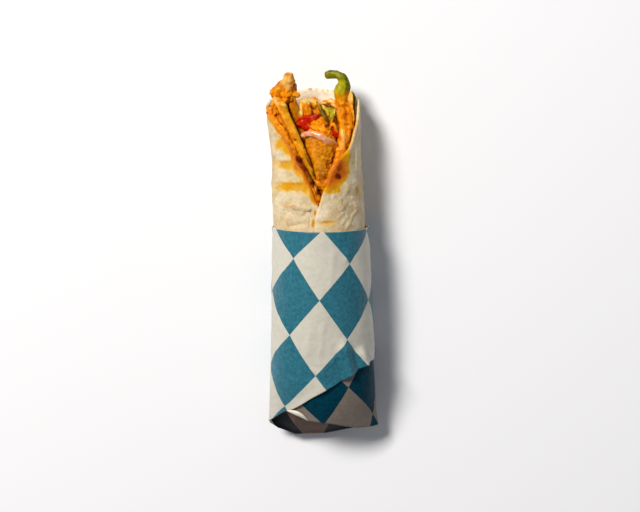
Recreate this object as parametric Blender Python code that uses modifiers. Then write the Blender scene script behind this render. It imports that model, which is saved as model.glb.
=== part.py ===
"""A rolled chicken wrap in its printed paper, lying on its back.

The flatbread is one sheet rolled into a tube. Its open end points along +Y and
its V-shaped opening faces up. The paper is a sleeve in three layers, folded
shut at the foot (-Y). Lengths are millimetres until a mesh is made.
"""
import math

import bmesh
import bpy
import numpy as np
from mathutils import Vector, noise

MM = 0.001
MIDDLE = Vector((0.9, 0.8, 0.0))    # middle of the whole footprint, which becomes the origin

# Driving sizes
RIM_Y = 20.5            # paper's top edge
FOOT_Y = -112.0         # paper's folded end
PAPER_THICK = 1.0       # a doubled, crumpled sheet
LAYER_STEP = 0.45       # each inner paper layer sits this much further in
OUTER_LIFT = 0.9        # how far the outer sheet's free edge stands off the layer below
UNDER_LIFT = 0.63       # and how far the under-layer's does
LIFT_RUN = 12.0         # length of paper that stands off
BREAD_THICK = 2.0
BREAD_TURN_GAP = 0.33   # air between two turns of the roll
BREAD_TOP_FLOOR = 1.2   # underside of the bread above the table, outside the folds
BREAD_FOOT_FLOOR = 2.3  # and inside the three paper layers
LEAF_THICK = 0.7
GAP = 0.4               # clearance between neighbours

# Facets: round the paper and along each of its layers, then the bread and the core
SIDES = 30
OUTER_ROWS, UNDER_ROWS, CUP_ROWS = 9, 6, 8
BREAD_SIDES, BREAD_ROWS = 52, 11
CORE_SIDES, CORE_ROWS, CORE_RINGS = 22, 8, 5
LEAF_SIDES, LEAF_ROWS = 6, 8

# Tubes, as rows of: y, left x, right x, front z, back z
PAPER_OUTLINE = (
    (RIM_Y, -30.5, 28.2, 56.2, -1.8),
    (-15.0, -31.0, 30.4, 55.8, -1.8),
    (-43.0, -31.4, 31.6, 53.4, -1.8),
    (-60.0, -31.7, 32.3, 50.9, -1.6),
    (-77.0, -31.9, 33.4, 47.0, -1.0),
    (-90.0, -32.3, 34.2, 41.5, -0.2),
    (-98.0, -32.8, 34.9, 36.5, 0.8),
    (-108.0, -33.4, 35.6, 28.0, 2.6),
)
CUP_OUTLINE = (
    (-45.0, -30.6, 30.7, 52.2, -0.8),
    (-60.0, -30.8, 31.4, 49.9, -0.6),
    (-77.0, -30.9, 32.4, 45.6, 0.0),
    (-90.0, -31.4, 33.3, 39.0, 0.8),
    (-98.0, -31.9, 34.0, 31.0, 2.3),
    (-104.0, -32.3, 34.6, 22.5, 4.5),
    (-109.0, -32.4, 34.8, 14.0, 7.2),
    (FOOT_Y, -32.5, 34.8, 10.2, 8.8),
)
BREAD_OUTLINE = (
    (102.0, -36.2, 22.2, 53.5, 0.0),
    (90.0, -34.8, 22.8, 53.5, 0.0),
    (66.0, -32.4, 23.6, 53.5, 0.0),
    (36.0, -31.4, 25.4, 53.5, 0.0),
    (RIM_Y, -30.5, 26.2, 53.5, 0.0),
    (-15.0, -30.4, 26.8, 53.2, 0.0),
    (-43.0, -30.2, 28.0, 50.6, 0.8),
    (-60.0, -30.2, 28.6, 47.6, 1.4),
    (-77.0, -29.8, 29.2, 42.6, 2.2),
    (-90.0, -29.4, 29.4, 33.6, 3.4),
)

# Free edges of the paper: angle from the front (degrees, right is positive), y
OUTER_EDGE = (
    (-180, -64), (-150, -80), (-120, -95), (-88, -101.4), (-62, -97.5), (-43, -91.5),
    (-36, -89.9), (-9, -79.3), (17.5, -70.2), (44, -62), (75, -59), (110, -57), (145, -57), (180, -64),
)
INNER_EDGE = (
    (-180, -101), (-120, -100), (-88, -99.6), (-62, -95.5), (-43, -90), (-30, -93.4),
    (-15, -96.8), (4, -98.4), (36, -103.2), (60, -104.0), (90, -103.6), (130, -102.5), (180, -101),
)
# The closed foot of the paper, seen from the front: x, y
FOOT_LINE = ((-33, -101.8), (-27.3, -107.3), (-16.5, -111.9), (2.2, -111.2), (20.6, -107.5), (35, -103.8))
INNER_LAYER_START = -30.0
CUP_START = -45.0
FOLD_START, FOLD_END = -70.0, -104.0    # the round tube turns lens-shaped here
FOLD_SHARP = 0.7                        # how much sharper than an ellipse it gets

# The roll: unrolled angle in degrees, from the hidden inner end to the free outer edge
ROLL_START, ROLL_END = 30.0, -365.0
BREAD_FOOT_Y = -89.0
BREAD_RIM = (
    (30, 4), (18, 16), (8, 27), (1.7, 35.4), (-0.4, 37.1), (-3.5, 42.6), (-8.4, 48.4), (-16, 55.7),
    (-23.6, 59.6), (-32.2, 69), (-47, 78.5), (-62, 84), (-78, 88), (-90, 91.5), (-120, 97), (-150, 100),
    (-180, 101.9), (-215, 101), (-250, 98), (-270, 95.6), (-288, 84.5), (-299, 78), (-304, 73.2),
    (-311, 68.6), (-329, 62), (-339.5, 56), (-350, 45.5), (-354, 41), (-358, 34.8), (-361, 31.4),
    (-363.6, 27), (-365, 14),
)

# Filling core: the mass between the larger pieces, from the foot to its slanted top
CORE_FOOT_Y = -83.0
CORE_GAP = 0.6                  # air between it and the bread
CORE_TOP_FRONT = (50.0, 40.0)   # z, y where the top meets the front of the roll
CORE_TOP_BACK = (4.0, 93.0)     # z, y where it meets the back
CORE_MIDDLE_Y = 60.0            # where its depth is read to slant the top
CORE_LUMP = 2.2                 # height of the lumps on its top
CORE_LUMP_SIZES = (6.0, 3.1)    # and their sizes
CORE_LUMP_DEPTH = 2.0           # how far below the top they reach

# Colour and roughness of each slot
PALETTE = {
    "paper": ("#c6c3b6", 0.55),
    "bread": ("#e3cda2", 0.75),
    "sauce": ("#cc7306", 0.25),
    "fried_chicken": ("#e0962b", 0.45),
    "fry": ("#d79927", 0.4),
    "pepper": ("#8b930d", 0.25),
    "tomato": ("#c6300a", 0.2),
    "onion": ("#db804c", 0.25),
    "lettuce": ("#baa020", 0.4),
}


def linear(code):
    """Linear colour of an sRGB hex code."""
    values = [int(code[k:k + 2], 16) / 255 for k in (1, 3, 5)]
    return [v / 12.92 if v <= 0.04045 else ((v + 0.055) / 1.055) ** 2.4 for v in values] + [1.0]


def material(name):
    """The named material, made once."""
    if name in bpy.data.materials:
        return bpy.data.materials[name]
    code, rough = PALETTE[name]
    made = bpy.data.materials.new(name)
    made.use_nodes = True
    shader = made.node_tree.nodes["Principled BSDF"]
    shader.inputs["Base Color"].default_value = linear(code)
    shader.inputs["Roughness"].default_value = rough
    shader.inputs["Metallic"].default_value = 0.0
    return made


def blend(value, rows, column):
    """Smooth curve through one column of rows sorted by their first value."""
    rows = sorted(rows)
    at = np.array([row[0] for row in rows], float)
    values = np.array([row[column] for row in rows], float)
    value = min(max(value, at[0]), at[-1])
    k = min(int(np.searchsorted(at, value, side="right")) - 1, len(at) - 2)
    slopes = np.gradient(values, at)
    span = at[k + 1] - at[k]
    t = (value - at[k]) / span
    return float(
        (2 * t**3 - 3 * t**2 + 1) * values[k] + (t**3 - 2 * t**2 + t) * span * slopes[k]
        + (3 * t**2 - 2 * t**3) * values[k + 1] + (t**3 - t**2) * span * slopes[k + 1]
    )


def straight(value, rows):
    """Straight-line reading of rows of two values."""
    rows = sorted(rows)
    return float(np.interp(value, [row[0] for row in rows], [row[1] for row in rows]))


def section(outline, y):
    """Centre x, centre z, half width and half depth of a tube at y."""
    left, right, front, back = (blend(y, outline, column) for column in (1, 2, 3, 4))
    return (left + right) / 2, (front + back) / 2, (right - left) / 2, (front - back) / 2


def on_tube(outline, y, angle, inset=0.0, floor=0.0, power=1.0):
    """Point of a tube: angle in degrees from the front, inset inward, flat on the floor."""
    centre_x, centre_z, half_x, half_z = section(outline, y)
    side, up = math.sin(math.radians(angle)), math.cos(math.radians(angle))
    x = centre_x + (half_x - inset) * side
    z = centre_z + (half_z - inset) * math.copysign(abs(up) ** power, up)
    return Vector((x, y, max(z, floor)))


def add_object(name, bm, finish, folder, crease=50):
    """Object from a bmesh in millimetres, shaded smooth, in the given collection.

    Its facets are triangles from the start, so that its room has the same ones.
    """
    for vertex in bm.verts:
        vertex.co = (vertex.co - MIDDLE) * MM
    bmesh.ops.recalc_face_normals(bm, faces=bm.faces)
    bmesh.ops.triangulate(bm, faces=bm.faces)
    mesh = bpy.data.meshes.new(name)
    bm.to_mesh(mesh)
    bm.free()
    mesh.shade_smooth()
    mesh.set_sharp_from_angle(angle=math.radians(crease))
    made = bpy.data.objects.new(name, mesh)
    made.data.materials.append(material(finish))
    folder.objects.link(made)
    return made


def rings_mesh(rings, loop=True, close_start=False, close_end=False):
    """Loft through rings of points with the same count."""
    bm = bmesh.new()
    rows = [[bm.verts.new(point) for point in ring] for ring in rings]
    count = len(rows[0])
    for low, high in zip(rows, rows[1:]):
        for k in range(count if loop else count - 1):
            after = (k + 1) % count
            bm.faces.new((low[k], low[after], high[after], high[k]))
    if close_start:
        bm.faces.new(rows[0])
    if close_end:
        bm.faces.new(rows[-1])
    return bm


def settle(made):
    """Replace an object's mesh by its evaluated mesh."""
    graph = bpy.context.evaluated_depsgraph_get()
    graph.update()
    mesh = bpy.data.meshes.new_from_object(made.evaluated_get(graph))
    made.modifiers.clear()
    made.data = mesh
    return made


def thicken(made, thickness):
    """Give an open sheet its thickness, inward from its outer face."""
    shell = made.modifiers.new("thickness", "SOLIDIFY")
    shell.thickness = thickness * MM
    shell.offset = -1.0
    return settle(made)


def keep_largest(made):
    """Keep the main body: drop cut-off crumbs, and fill bubbles that a join seals in."""
    bm = bmesh.new()
    bm.from_mesh(made.data)
    unseen, bodies = set(bm.faces), []
    while unseen:
        stack, body = [unseen.pop()], []
        while stack:
            face = stack.pop()
            body.append(face)
            beside = {other for edge in face.edges for other in edge.link_faces} & unseen
            unseen -= beside
            stack += beside
        bodies.append(body)
    bodies.sort(key=len)
    crumbs = [face for body in bodies[:-1] for face in body]
    bmesh.ops.delete(bm, geom=crumbs, context="FACES")
    bm.to_mesh(made.data)
    bm.free()


def room_round(made):
    """A body's cutter: its copy with the surface moved outward by the gap."""
    bm = bmesh.new()
    bm.from_mesh(made.data)
    bm.normal_update()
    moves = [(vertex, vertex.normal * GAP * MM) for vertex in bm.verts]
    for vertex, move in moves:
        vertex.co += move
    mesh = bpy.data.meshes.new(made.name + "_room")
    bm.to_mesh(mesh)
    bm.free()
    room = bpy.data.objects.new(made.name + "_room", mesh)
    room.hide_render = True
    room.display_type = "WIRE"
    return room


def is_closed(mesh):
    """Whether every edge joins exactly two faces."""
    uses = {}
    for polygon in mesh.polygons:
        for key in polygon.edge_keys:
            uses[key] = uses.get(key, 0) + 1
    return all(count == 2 for count in uses.values())


def boolean(made, folder, operation):
    """Cut or join a body with every object of a collection.

    Where the exact solver leaves an open edge, the manifold one does the same step.
    """
    before = made.data
    for solver in ("EXACT", "MANIFOLD"):
        made.data = before
        step = made.modifiers.new("join", "BOOLEAN")
        step.operation = operation
        step.operand_type = "COLLECTION"
        step.collection = folder
        step.solver = solver
        settle(made)
        if is_closed(made.data):
            break
    keep_largest(made)
    return made


def near(one, other):
    """Whether two bodies' boxes touch."""
    boxes = []
    for made in (one, other):
        points = np.array([vertex.co for vertex in made.data.vertices])
        boxes.append((points.min(axis=0), points.max(axis=0)))
    (low, high), (other_low, other_high) = boxes
    return bool(np.all(low <= other_high) and np.all(other_low <= high))


def give_way(made, rooms, folder):
    """Cut a body back from the room of each one that lies over it."""
    close = [room for room in rooms if near(made, room)]
    for room in close:
        folder.objects.link(room)
    if close:
        boolean(made, folder, "DIFFERENCE")
    for room in close:
        folder.objects.unlink(room)
    return made


def fold_power(y):
    """Section exponent: 1 is an ellipse, more is a lens with sharp sides."""
    t = min(max((y - FOLD_START) / (FOLD_END - FOLD_START), 0.0), 1.0)
    return 1.0 + FOLD_SHARP * t * t * (3 - 2 * t)


def paper_sleeve(name, edge, start, inset, lift, rows, folder):
    """One paper layer: a sleeve from start down to its free edge, which stands off."""
    rings = []
    for row in range(rows + 1):
        ring = []
        for k in range(SIDES):
            angle = -180 + 360 * k / SIDES
            end = blend(angle, edge, 1)
            y = start + (end - start) * row / rows
            off = lift * max(0.0, 1 - (y - end) / LIFT_RUN) ** 2
            off *= 0.5 + 0.5 * math.cos(math.radians(angle))
            ring.append(on_tube(PAPER_OUTLINE, y, angle, inset - off, inset, fold_power(y)))
        rings.append(ring)
    return thicken(add_object(name, rings_mesh(rings), "paper", folder), PAPER_THICK)


def paper_cup(name, folder):
    """The innermost layer, closed along the foot."""
    rings = []
    for row in range(CUP_ROWS + 1):
        ring = []
        across = CUP_START + (FOOT_Y - CUP_START) * row / CUP_ROWS
        for k in range(SIDES):
            angle = -180 + 360 * k / SIDES
            point = on_tube(CUP_OUTLINE, across, angle, 0.0, 2 * LAYER_STEP, fold_power(across))
            end = straight(point.x, FOOT_LINE)
            point.y = CUP_START + (end - CUP_START) * row / CUP_ROWS
            ring.append(point)
        rings.append(ring)
    bm = rings_mesh(rings)
    bm.verts.ensure_lookup_table()
    last = bm.verts[-SIDES:]
    for k in range(SIDES // 2):
        corners = (last[k], last[k + 1], last[SIDES - k - 1], last[(SIDES - k) % SIDES])
        bm.faces.new(list(dict.fromkeys(corners)))
    return thicken(add_object(name, bm, "paper", folder), PAPER_THICK)


def paper_wrapper(folder, tools):
    """Outer sheet, under-layer and closed cup, joined into one folded sleeve."""
    outer = paper_sleeve("paper_wrapper", OUTER_EDGE, RIM_Y, 0.0, OUTER_LIFT, OUTER_ROWS, folder)
    paper_sleeve("under_layer", INNER_EDGE, INNER_LAYER_START, LAYER_STEP, UNDER_LIFT, UNDER_ROWS, tools)
    paper_cup("cup", tools)
    boolean(outer, tools, "UNION")
    for joined in list(tools.objects):
        bpy.data.objects.remove(joined)
    return outer


def roll_inset(angle):
    """How far a turn of the roll lies inside the outermost one."""
    return (BREAD_THICK + BREAD_TURN_GAP) * (angle - ROLL_END) / 360


def bread_floor(y):
    """Lowest level of the bread at y."""
    return float(np.interp(y, [CUP_START, -25.0], [BREAD_FOOT_FLOOR, BREAD_TOP_FLOOR]))


def flatbread(folder):
    """One sheet rolled a little more than once round, with the cut V of its rim."""
    rings = []
    for k in range(BREAD_SIDES + 1):
        angle = ROLL_START + (ROLL_END - ROLL_START) * k / BREAD_SIDES
        top = straight(-angle, [(-turn, y) for turn, y in BREAD_RIM])
        ring = []
        for row in range(BREAD_ROWS + 1):
            y = BREAD_FOOT_Y + (top - BREAD_FOOT_Y) * row / BREAD_ROWS
            ring.append(on_tube(BREAD_OUTLINE, y, angle, roll_inset(angle), bread_floor(y), fold_power(y)))
        rings.append(ring)
    sheet = add_object("flatbread", rings_mesh(rings, loop=False), "bread", folder)
    return thicken(sheet, BREAD_THICK)


def inside_bread(y, angle, depth):
    """Point at a depth below the inner face of the bread."""
    inset = roll_inset(0.0) + BREAD_THICK + depth
    return on_tube(BREAD_OUTLINE, y, angle, inset, bread_floor(y) + BREAD_THICK, fold_power(y))


def superellipse(half_w, half_d, sides, roundness):
    """Points round a cross-section: roundness 2 is an ellipse, 4 nearly a box."""
    points = []
    for k in range(sides):
        turn = 2 * math.pi * (k + 0.5) / sides
        c, s = math.cos(turn), math.sin(turn)
        points.append((
            half_w * math.copysign(abs(c) ** (2 / roundness), c),
            half_d * math.copysign(abs(s) ** (2 / roundness), s),
        ))
    return points


def sweep(name, stations, finish, folder, sides=8, roundness=2.0, across=(1, 0, 0), steps=2, cap=1.0):
    """Closed body along stations of (x, y, z, half width, half depth), smoothly joined.

    The width lies along across, the depth at right angles to it and to the
    route. Its ends are rounded in two steps: a cap of 1 is round, less is blunt.
    """
    count = (len(stations) - 1) * steps
    rows = [(index * steps,) + tuple(station) for index, station in enumerate(stations)]
    path = [[blend(k, rows, column) for column in range(1, 6)] for k in range(count + 1)]
    rings = []
    for k, (x, y, z, half_w, half_d) in enumerate(path):
        before, after = path[max(k - 1, 0)], path[min(k + 1, count)]
        along = (Vector(after[:3]) - Vector(before[:3])).normalized()
        wide = Vector(across)
        wide = (wide - along * wide.dot(along)).normalized()
        deep = along.cross(wide)
        outline = superellipse(half_w, half_d, sides, roundness)
        middle = Vector((x, y, z))
        reach = along * min(half_w, half_d) * cap
        for share in (0.35, 0.75) if k == 0 else ():
            rings.append([middle - reach * (1 - share) + (wide * w + deep * d) * share for w, d in outline])
        rings.append([middle + wide * w + deep * d for w, d in outline])
        for share in (0.75, 0.35) if k == count else ():
            rings.append([middle + reach * (1 - share) + (wide * w + deep * d) * share for w, d in outline])
    return add_object(name, rings_mesh(rings, True, True, True), finish, folder)


def roughen(made, height, size, seed):
    """Lumps of a given height and size in mm, pushed along the surface's normals."""
    shift = Vector((seed * 3.1, seed * 1.7, seed * 2.3))
    bm = bmesh.new()
    bm.from_mesh(made.data)
    bm.normal_update()
    moves = [
        (vertex, vertex.normal * height * MM * noise.noise(vertex.co / (size * MM) + shift))
        for vertex in bm.verts
    ]
    for vertex, move in moves:
        vertex.co += move
    bm.to_mesh(made.data)
    bm.free()
    return made


def pepper_hook(folder):
    """Strip of green pepper that stands out of the roll and curls over to the left."""
    return sweep("pepper_hook", (
        (2.6, 110.0, 22.0, 1.9, 1.6), (5.0, 110.5, 22.8, 2.2, 1.8), (7.6, 110.6, 23.4, 2.3, 2.0),
        (10.0, 110.0, 24.0, 2.3, 2.0), (12.0, 108.4, 24.5, 2.5, 2.0), (12.7, 106.2, 24.8, 3.0, 2.0),
        (12.6, 103.8, 25.0, 3.8, 2.2), (11.9, 101.2, 25.0, 4.5, 2.3), (11.4, 98.2, 25.0, 4.0, 2.3),
        (11.4, 95.2, 24.6, 3.1, 2.2), (11.8, 90.0, 24.0, 2.8, 2.2), (12.0, 80.0, 23.0, 2.8, 2.0),
        (11.0, 66.0, 22.0, 2.6, 1.8),
    ), "pepper", folder, roundness=2.6, across=(0.9, -0.45, 0), cap=0.35)


def pepper_strip(folder):
    """Dark green sliver of pepper against the right-hand rim."""
    return sweep("pepper_strip", (
        (17.4, 100.2, 26.0, 0.7, 1.2), (18.4, 97.0, 26.8, 1.2, 2.3), (18.8, 92.8, 27.4, 1.3, 2.8),
        (18.8, 86.4, 28.0, 1.1, 2.6), (18.4, 79.0, 28.2, 1.0, 2.4), (17.6, 69.0, 28.0, 0.9, 1.8),
    ), "pepper", folder, sides=6, across=(0.8, 0, -0.6))


def onion_slice(folder):
    """Band of onion bent over the top of the middle chicken piece."""
    return sweep("onion_slice", (
        (-13.6, 74.0, 36.6, 1.2, 0.7), (-11.2, 75.7, 39.8, 1.6, 0.9), (-7.0, 77.0, 42.4, 1.9, 1.0),
        (-2.0, 75.6, 44.0, 2.1, 1.0), (1.8, 73.5, 44.4, 2.5, 1.0), (5.4, 71.7, 43.5, 2.3, 1.0),
        (8.6, 69.4, 41.2, 1.6, 0.9), (10.4, 66.6, 38.4, 1.1, 0.7),
    ), "onion", folder, across=(0.2, 1, 0.25))


def tomato_wedge(folder):
    """Wedge of tomato, skin edge towards the open end."""
    return sweep("tomato_wedge", (
        (-15.4, 81.6, 33.0, 0.5, 1.6), (-12.8, 82.6, 32.8, 2.6, 3.4), (-9.6, 82.8, 32.4, 3.9, 4.4),
        (-6.4, 83.4, 31.6, 4.0, 4.4), (-4.0, 85.2, 30.4, 2.4, 3.2), (-2.6, 87.0, 29.2, 0.6, 1.6),
    ), "tomato", folder, roundness=2.4, across=(-0.3, 1, 0.1))


def tomato_bit(folder):
    """Small dark piece of tomato between the chicken and the sauce on the right."""
    return sweep("tomato_bit", (
        (1.8, 79.4, 34.6, 0.6, 1.2), (4.6, 77.6, 36.0, 1.8, 2.4), (7.8, 76.2, 36.6, 2.4, 2.8),
        (10.8, 74.0, 35.6, 0.8, 1.4),
    ), "tomato", folder, across=(0, 1, 0.2))


def fries(folder):
    """Two potato fries down the left side; the front one runs right along the V."""
    front = sweep("fry_front", (
        (-24.0, 94.0, 35.0, 2.2, 2.0), (-23.2, 91.6, 36.4, 2.9, 2.7), (-20.4, 84.6, 39.4, 2.9, 2.8),
        (-16.4, 76.2, 41.8, 2.8, 2.8), (-12.6, 68.0, 43.4, 2.7, 2.7), (-9.2, 59.8, 44.4, 2.5, 2.5),
        (-6.0, 52.0, 44.6, 2.2, 2.3), (-3.8, 45.0, 43.4, 2.0, 2.1), (-2.6, 34.0, 40.0, 1.8, 1.9),
    ), "fry", folder, roundness=3.6, steps=1)
    back = sweep("fry_back", (
        (-18.2, 97.4, 30.4, 2.2, 2.0), (-17.3, 94.2, 30.8, 2.8, 2.5), (-15.2, 87.4, 31.0, 2.8, 2.5),
        (-12.4, 78.0, 30.4, 2.6, 2.5), (-9.2, 66.0, 29.0, 2.4, 2.4),
    ), "fry", folder, roundness=3.6, steps=1)
    return [front, back]


def sauced_strip(folder):
    """Sauce-covered strip that follows the left-hand rim down to the point of the V."""
    route = (
        (93.4, -84, 3.6, 1.6), (89.0, -74, 3.4, 2.4), (83.0, -61, 3.2, 2.6), (77.0, -50, 3.2, 2.6),
        (70.0, -38, 3.2, 2.5), (62.5, -28, 3.1, 2.4), (55.5, -19, 3.0, 2.3), (48.5, -10.5, 3.0, 2.2),
        (42.0, -3.5, 3.2, 2.0), (35.0, 1.5, 3.8, 1.7),
    )
    stations = [(*inside_bread(y, angle, depth), half, 0.9 * half) for y, angle, depth, half in route]
    return roughen(sweep("sauced_strip", stations, "sauce", folder), 0.9, 3.0, 4)


def chicken_piece(folder):
    """Fried chicken in the middle of the V, narrowing to its point."""
    made = sweep("chicken_piece", (
        (-1.6, 84.0, 29.0, 3.5, 3.0), (-1.4, 79.4, 32.0, 6.5, 5.6), (-1.2, 73.6, 35.4, 8.8, 7.4),
        (-0.6, 68.0, 37.8, 9.2, 8.2), (-0.2, 62.6, 39.2, 8.0, 7.8), (-0.2, 57.0, 40.6, 6.0, 6.4),
        (-0.4, 51.4, 42.0, 3.8, 4.6), (-0.8, 46.0, 42.8, 2.2, 3.0), (-1.0, 40.0, 41.6, 1.2, 1.6),
    ), "fried_chicken", folder, sides=12, roundness=2.2)
    return roughen(made, 1.3, 5.0, 2)


def chicken_strip(folder):
    """Breaded strip standing up on the left, with a wide skirt of sauced crumbs."""
    made = sweep("chicken_strip", (
        (-18.5, 110.2, 30.0, 2.0, 1.8), (-19.2, 108.9, 30.0, 3.3, 3.0), (-19.8, 107.2, 30.0, 3.9, 3.6),
        (-20.2, 105.4, 29.8, 4.4, 4.0), (-20.8, 103.6, 29.6, 5.3, 4.6), (-21.8, 101.6, 29.2, 6.8, 5.4),
        (-22.0, 99.4, 28.8, 8.0, 5.8), (-21.8, 97.0, 28.0, 7.0, 5.2), (-21.4, 94.6, 26.6, 5.4, 4.4),
        (-19.6, 89.0, 24.4, 5.2, 4.0), (-16.2, 78.0, 24.0, 5.0, 4.0), (-13.0, 66.0, 24.0, 4.8, 4.0),
        (-10.0, 54.0, 24.0, 3.8, 3.6),
    ), "fried_chicken", folder, sides=12)
    return roughen(made, 1.7, 4.2, 7)


def sauced_chunks(folder):
    """Sauce-covered pieces: one at the back, one filling the right-hand side."""
    back = sweep("sauced_chunk", (
        (-8.8, 95.0, 17.0, 2.6, 2.0), (-7.2, 93.2, 18.0, 6.0, 4.0), (-6.2, 90.2, 19.4, 7.4, 4.8),
        (-6.0, 86.6, 20.6, 7.4, 5.0), (-6.4, 82.0, 21.6, 6.4, 4.8), (-7.0, 75.0, 21.6, 5.0, 4.0),
    ), "sauce", folder, sides=12)
    side = sweep("saucy_side", (
        (12.6, 95.4, 21.0, 2.2, 2.2), (12.8, 91.0, 25.4, 3.0, 3.4), (12.9, 86.0, 29.2, 3.2, 4.0),
        (13.0, 81.0, 32.4, 3.2, 3.8), (13.0, 75.4, 35.2, 3.6, 4.0), (12.2, 69.0, 38.0, 3.8, 4.0),
        (9.8, 62.6, 40.6, 3.4, 3.6), (6.4, 56.4, 42.6, 2.4, 2.8), (3.2, 50.0, 43.2, 1.4, 1.8),
    ), "sauce", folder, sides=10)
    return [roughen(back, 1.6, 4.2, 11), roughen(side, 1.8, 4.0, 5)]


def sauce_sliver(folder):
    """Thin pointed flap of sauced bread skin that stands between the pepper pieces."""
    return sweep("sauce_sliver", (
        (17.0, 101.0, 30.4, 0.4, 0.35), (16.7, 98.0, 30.8, 1.9, 0.45), (16.7, 93.4, 31.6, 2.1, 0.5),
        (17.5, 90.4, 32.6, 1.5, 0.5), (18.4, 86.4, 34.0, 0.9, 0.5), (18.6, 78.0, 36.4, 0.7, 0.45),
    ), "sauce", folder, sides=6, across=(0.85, 0, 0.53))


def lettuce_leaf(folder):
    """Small crumpled piece of pale leaf in front of the back wall: pointed above, wavy across."""
    rings = []
    for row in range(LEAF_ROWS + 1):
        share = row / LEAF_ROWS
        half_wide = 1.4 + 2.6 * math.sin(math.pi * min(1.0, 0.15 + 0.8 * share))
        ring = []
        for k in range(LEAF_SIDES + 1):
            side = 2 * k / LEAF_SIDES - 1
            x = 4.4 - 1.6 * share + half_wide * side
            z = 15.0 + 10.0 * share + 1.1 * math.sin(4.2 * side + 5.0 * share)
            ring.append(Vector((x, 94.0 - 14.0 * share, z)))
        rings.append(ring)
    return thicken(add_object("lettuce_leaf", rings_mesh(rings, loop=False), "lettuce", folder), LEAF_THICK)


def core_top(z):
    """Height along the roll that the filling reaches at a depth z."""
    front_z, front_y = CORE_TOP_FRONT
    back_z, back_y = CORE_TOP_BACK
    return front_y + (front_z - z) * (back_y - front_y) / (front_z - back_z)


def core_ring(share, reach):
    """Ring of the core: share runs along its side from foot to top, reach from its middle to its side."""
    points = []
    for k in range(CORE_SIDES):
        angle = 360 * k / CORE_SIDES
        top = core_top(inside_bread(CORE_MIDDLE_Y, angle, CORE_GAP).z)
        y = CORE_FOOT_Y + (top - CORE_FOOT_Y) * share
        centre_x, centre_z, _, _ = section(BREAD_OUTLINE, y)
        middle = Vector((centre_x, y, centre_z))
        point = middle + (inside_bread(y, angle, CORE_GAP) - middle) * reach
        if share == 1.0:
            point.y = core_top(point.z)
        points.append(point)
    return points


def filling_core(folder):
    """The mass of sauced filling, from the foot of the roll to its slanted, lumpy top."""
    rings = [core_ring(0.0, 0.5)]
    rings += [core_ring(row / CORE_ROWS, 1.0) for row in range(CORE_ROWS + 1)]
    rings += [core_ring(1.0, 1 - step / CORE_RINGS) for step in range(1, CORE_RINGS)]
    rings.append(core_ring(1.0, 0.06))
    bm = rings_mesh(rings, True, True, True)
    broad, fine = CORE_LUMP_SIZES
    for vertex in bm.verts:
        rise = noise.noise(vertex.co / broad) + 0.5 * noise.noise(vertex.co / fine)
        if vertex.co.y > core_top(vertex.co.z) - CORE_LUMP_DEPTH:
            vertex.co.y += CORE_LUMP * rise
    return add_object("filling_core", bm, "sauce", folder)


def build():
    for old in list(bpy.data.objects):
        bpy.data.objects.remove(old)
    scene = bpy.context.scene.collection
    wrap = bpy.data.collections.new("chicken_wrap")
    tools = bpy.data.collections.new("cutters")
    scene.children.link(wrap)
    scene.children.link(tools)
    paper_wrapper(wrap, tools)
    rooms = [room_round(flatbread(wrap))]
    pieces = [pepper_hook(wrap), pepper_strip(wrap), sauce_sliver(wrap), sauced_strip(wrap)]
    pieces += fries(wrap)
    pieces += [onion_slice(wrap), tomato_bit(wrap), chicken_piece(wrap), tomato_wedge(wrap)]
    pieces += [lettuce_leaf(wrap), chicken_strip(wrap)]
    pieces += sauced_chunks(wrap)
    pieces.append(filling_core(wrap))
    for piece in pieces:
        room = room_round(piece)
        give_way(piece, rooms, tools)
        rooms.append(room)
    for room in rooms:
        bpy.data.objects.remove(room)


build()
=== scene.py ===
"""Looks of the rolled chicken wrap: printed paper, flatbread and sauced filling.

The wrap lies on its back with its open end along +Y, as in the frame. Lengths
are millimetres in the wrap's own drawing until a mesh is made.
"""
import math
import random

import bmesh
import bpy
import numpy as np
from mathutils import Matrix, Vector, noise


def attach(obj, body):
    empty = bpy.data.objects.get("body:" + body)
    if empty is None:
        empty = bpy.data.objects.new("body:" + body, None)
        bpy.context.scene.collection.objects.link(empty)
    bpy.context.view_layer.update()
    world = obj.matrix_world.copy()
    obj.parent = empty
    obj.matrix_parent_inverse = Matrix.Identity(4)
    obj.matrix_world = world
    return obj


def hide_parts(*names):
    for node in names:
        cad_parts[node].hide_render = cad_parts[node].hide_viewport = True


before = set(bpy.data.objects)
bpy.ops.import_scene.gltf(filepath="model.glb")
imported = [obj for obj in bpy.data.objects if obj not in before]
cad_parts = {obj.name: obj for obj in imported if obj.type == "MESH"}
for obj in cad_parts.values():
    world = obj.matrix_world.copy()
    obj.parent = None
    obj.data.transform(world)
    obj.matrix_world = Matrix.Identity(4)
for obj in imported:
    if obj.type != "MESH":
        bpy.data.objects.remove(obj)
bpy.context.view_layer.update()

MM = 0.001
MIDDLE = np.array((0.9, 0.8, 0.0))      # the drawing's point that lies at the frame's origin

# Camera: straight above the wrap, leaning a little towards its open end
CAMERA_AIM = (-2.1, 1.7, 27.0)
CAMERA_LEAN = 8.3
CAMERA_DISTANCE = 900.0
CAMERA_LENS = 84.4

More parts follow.
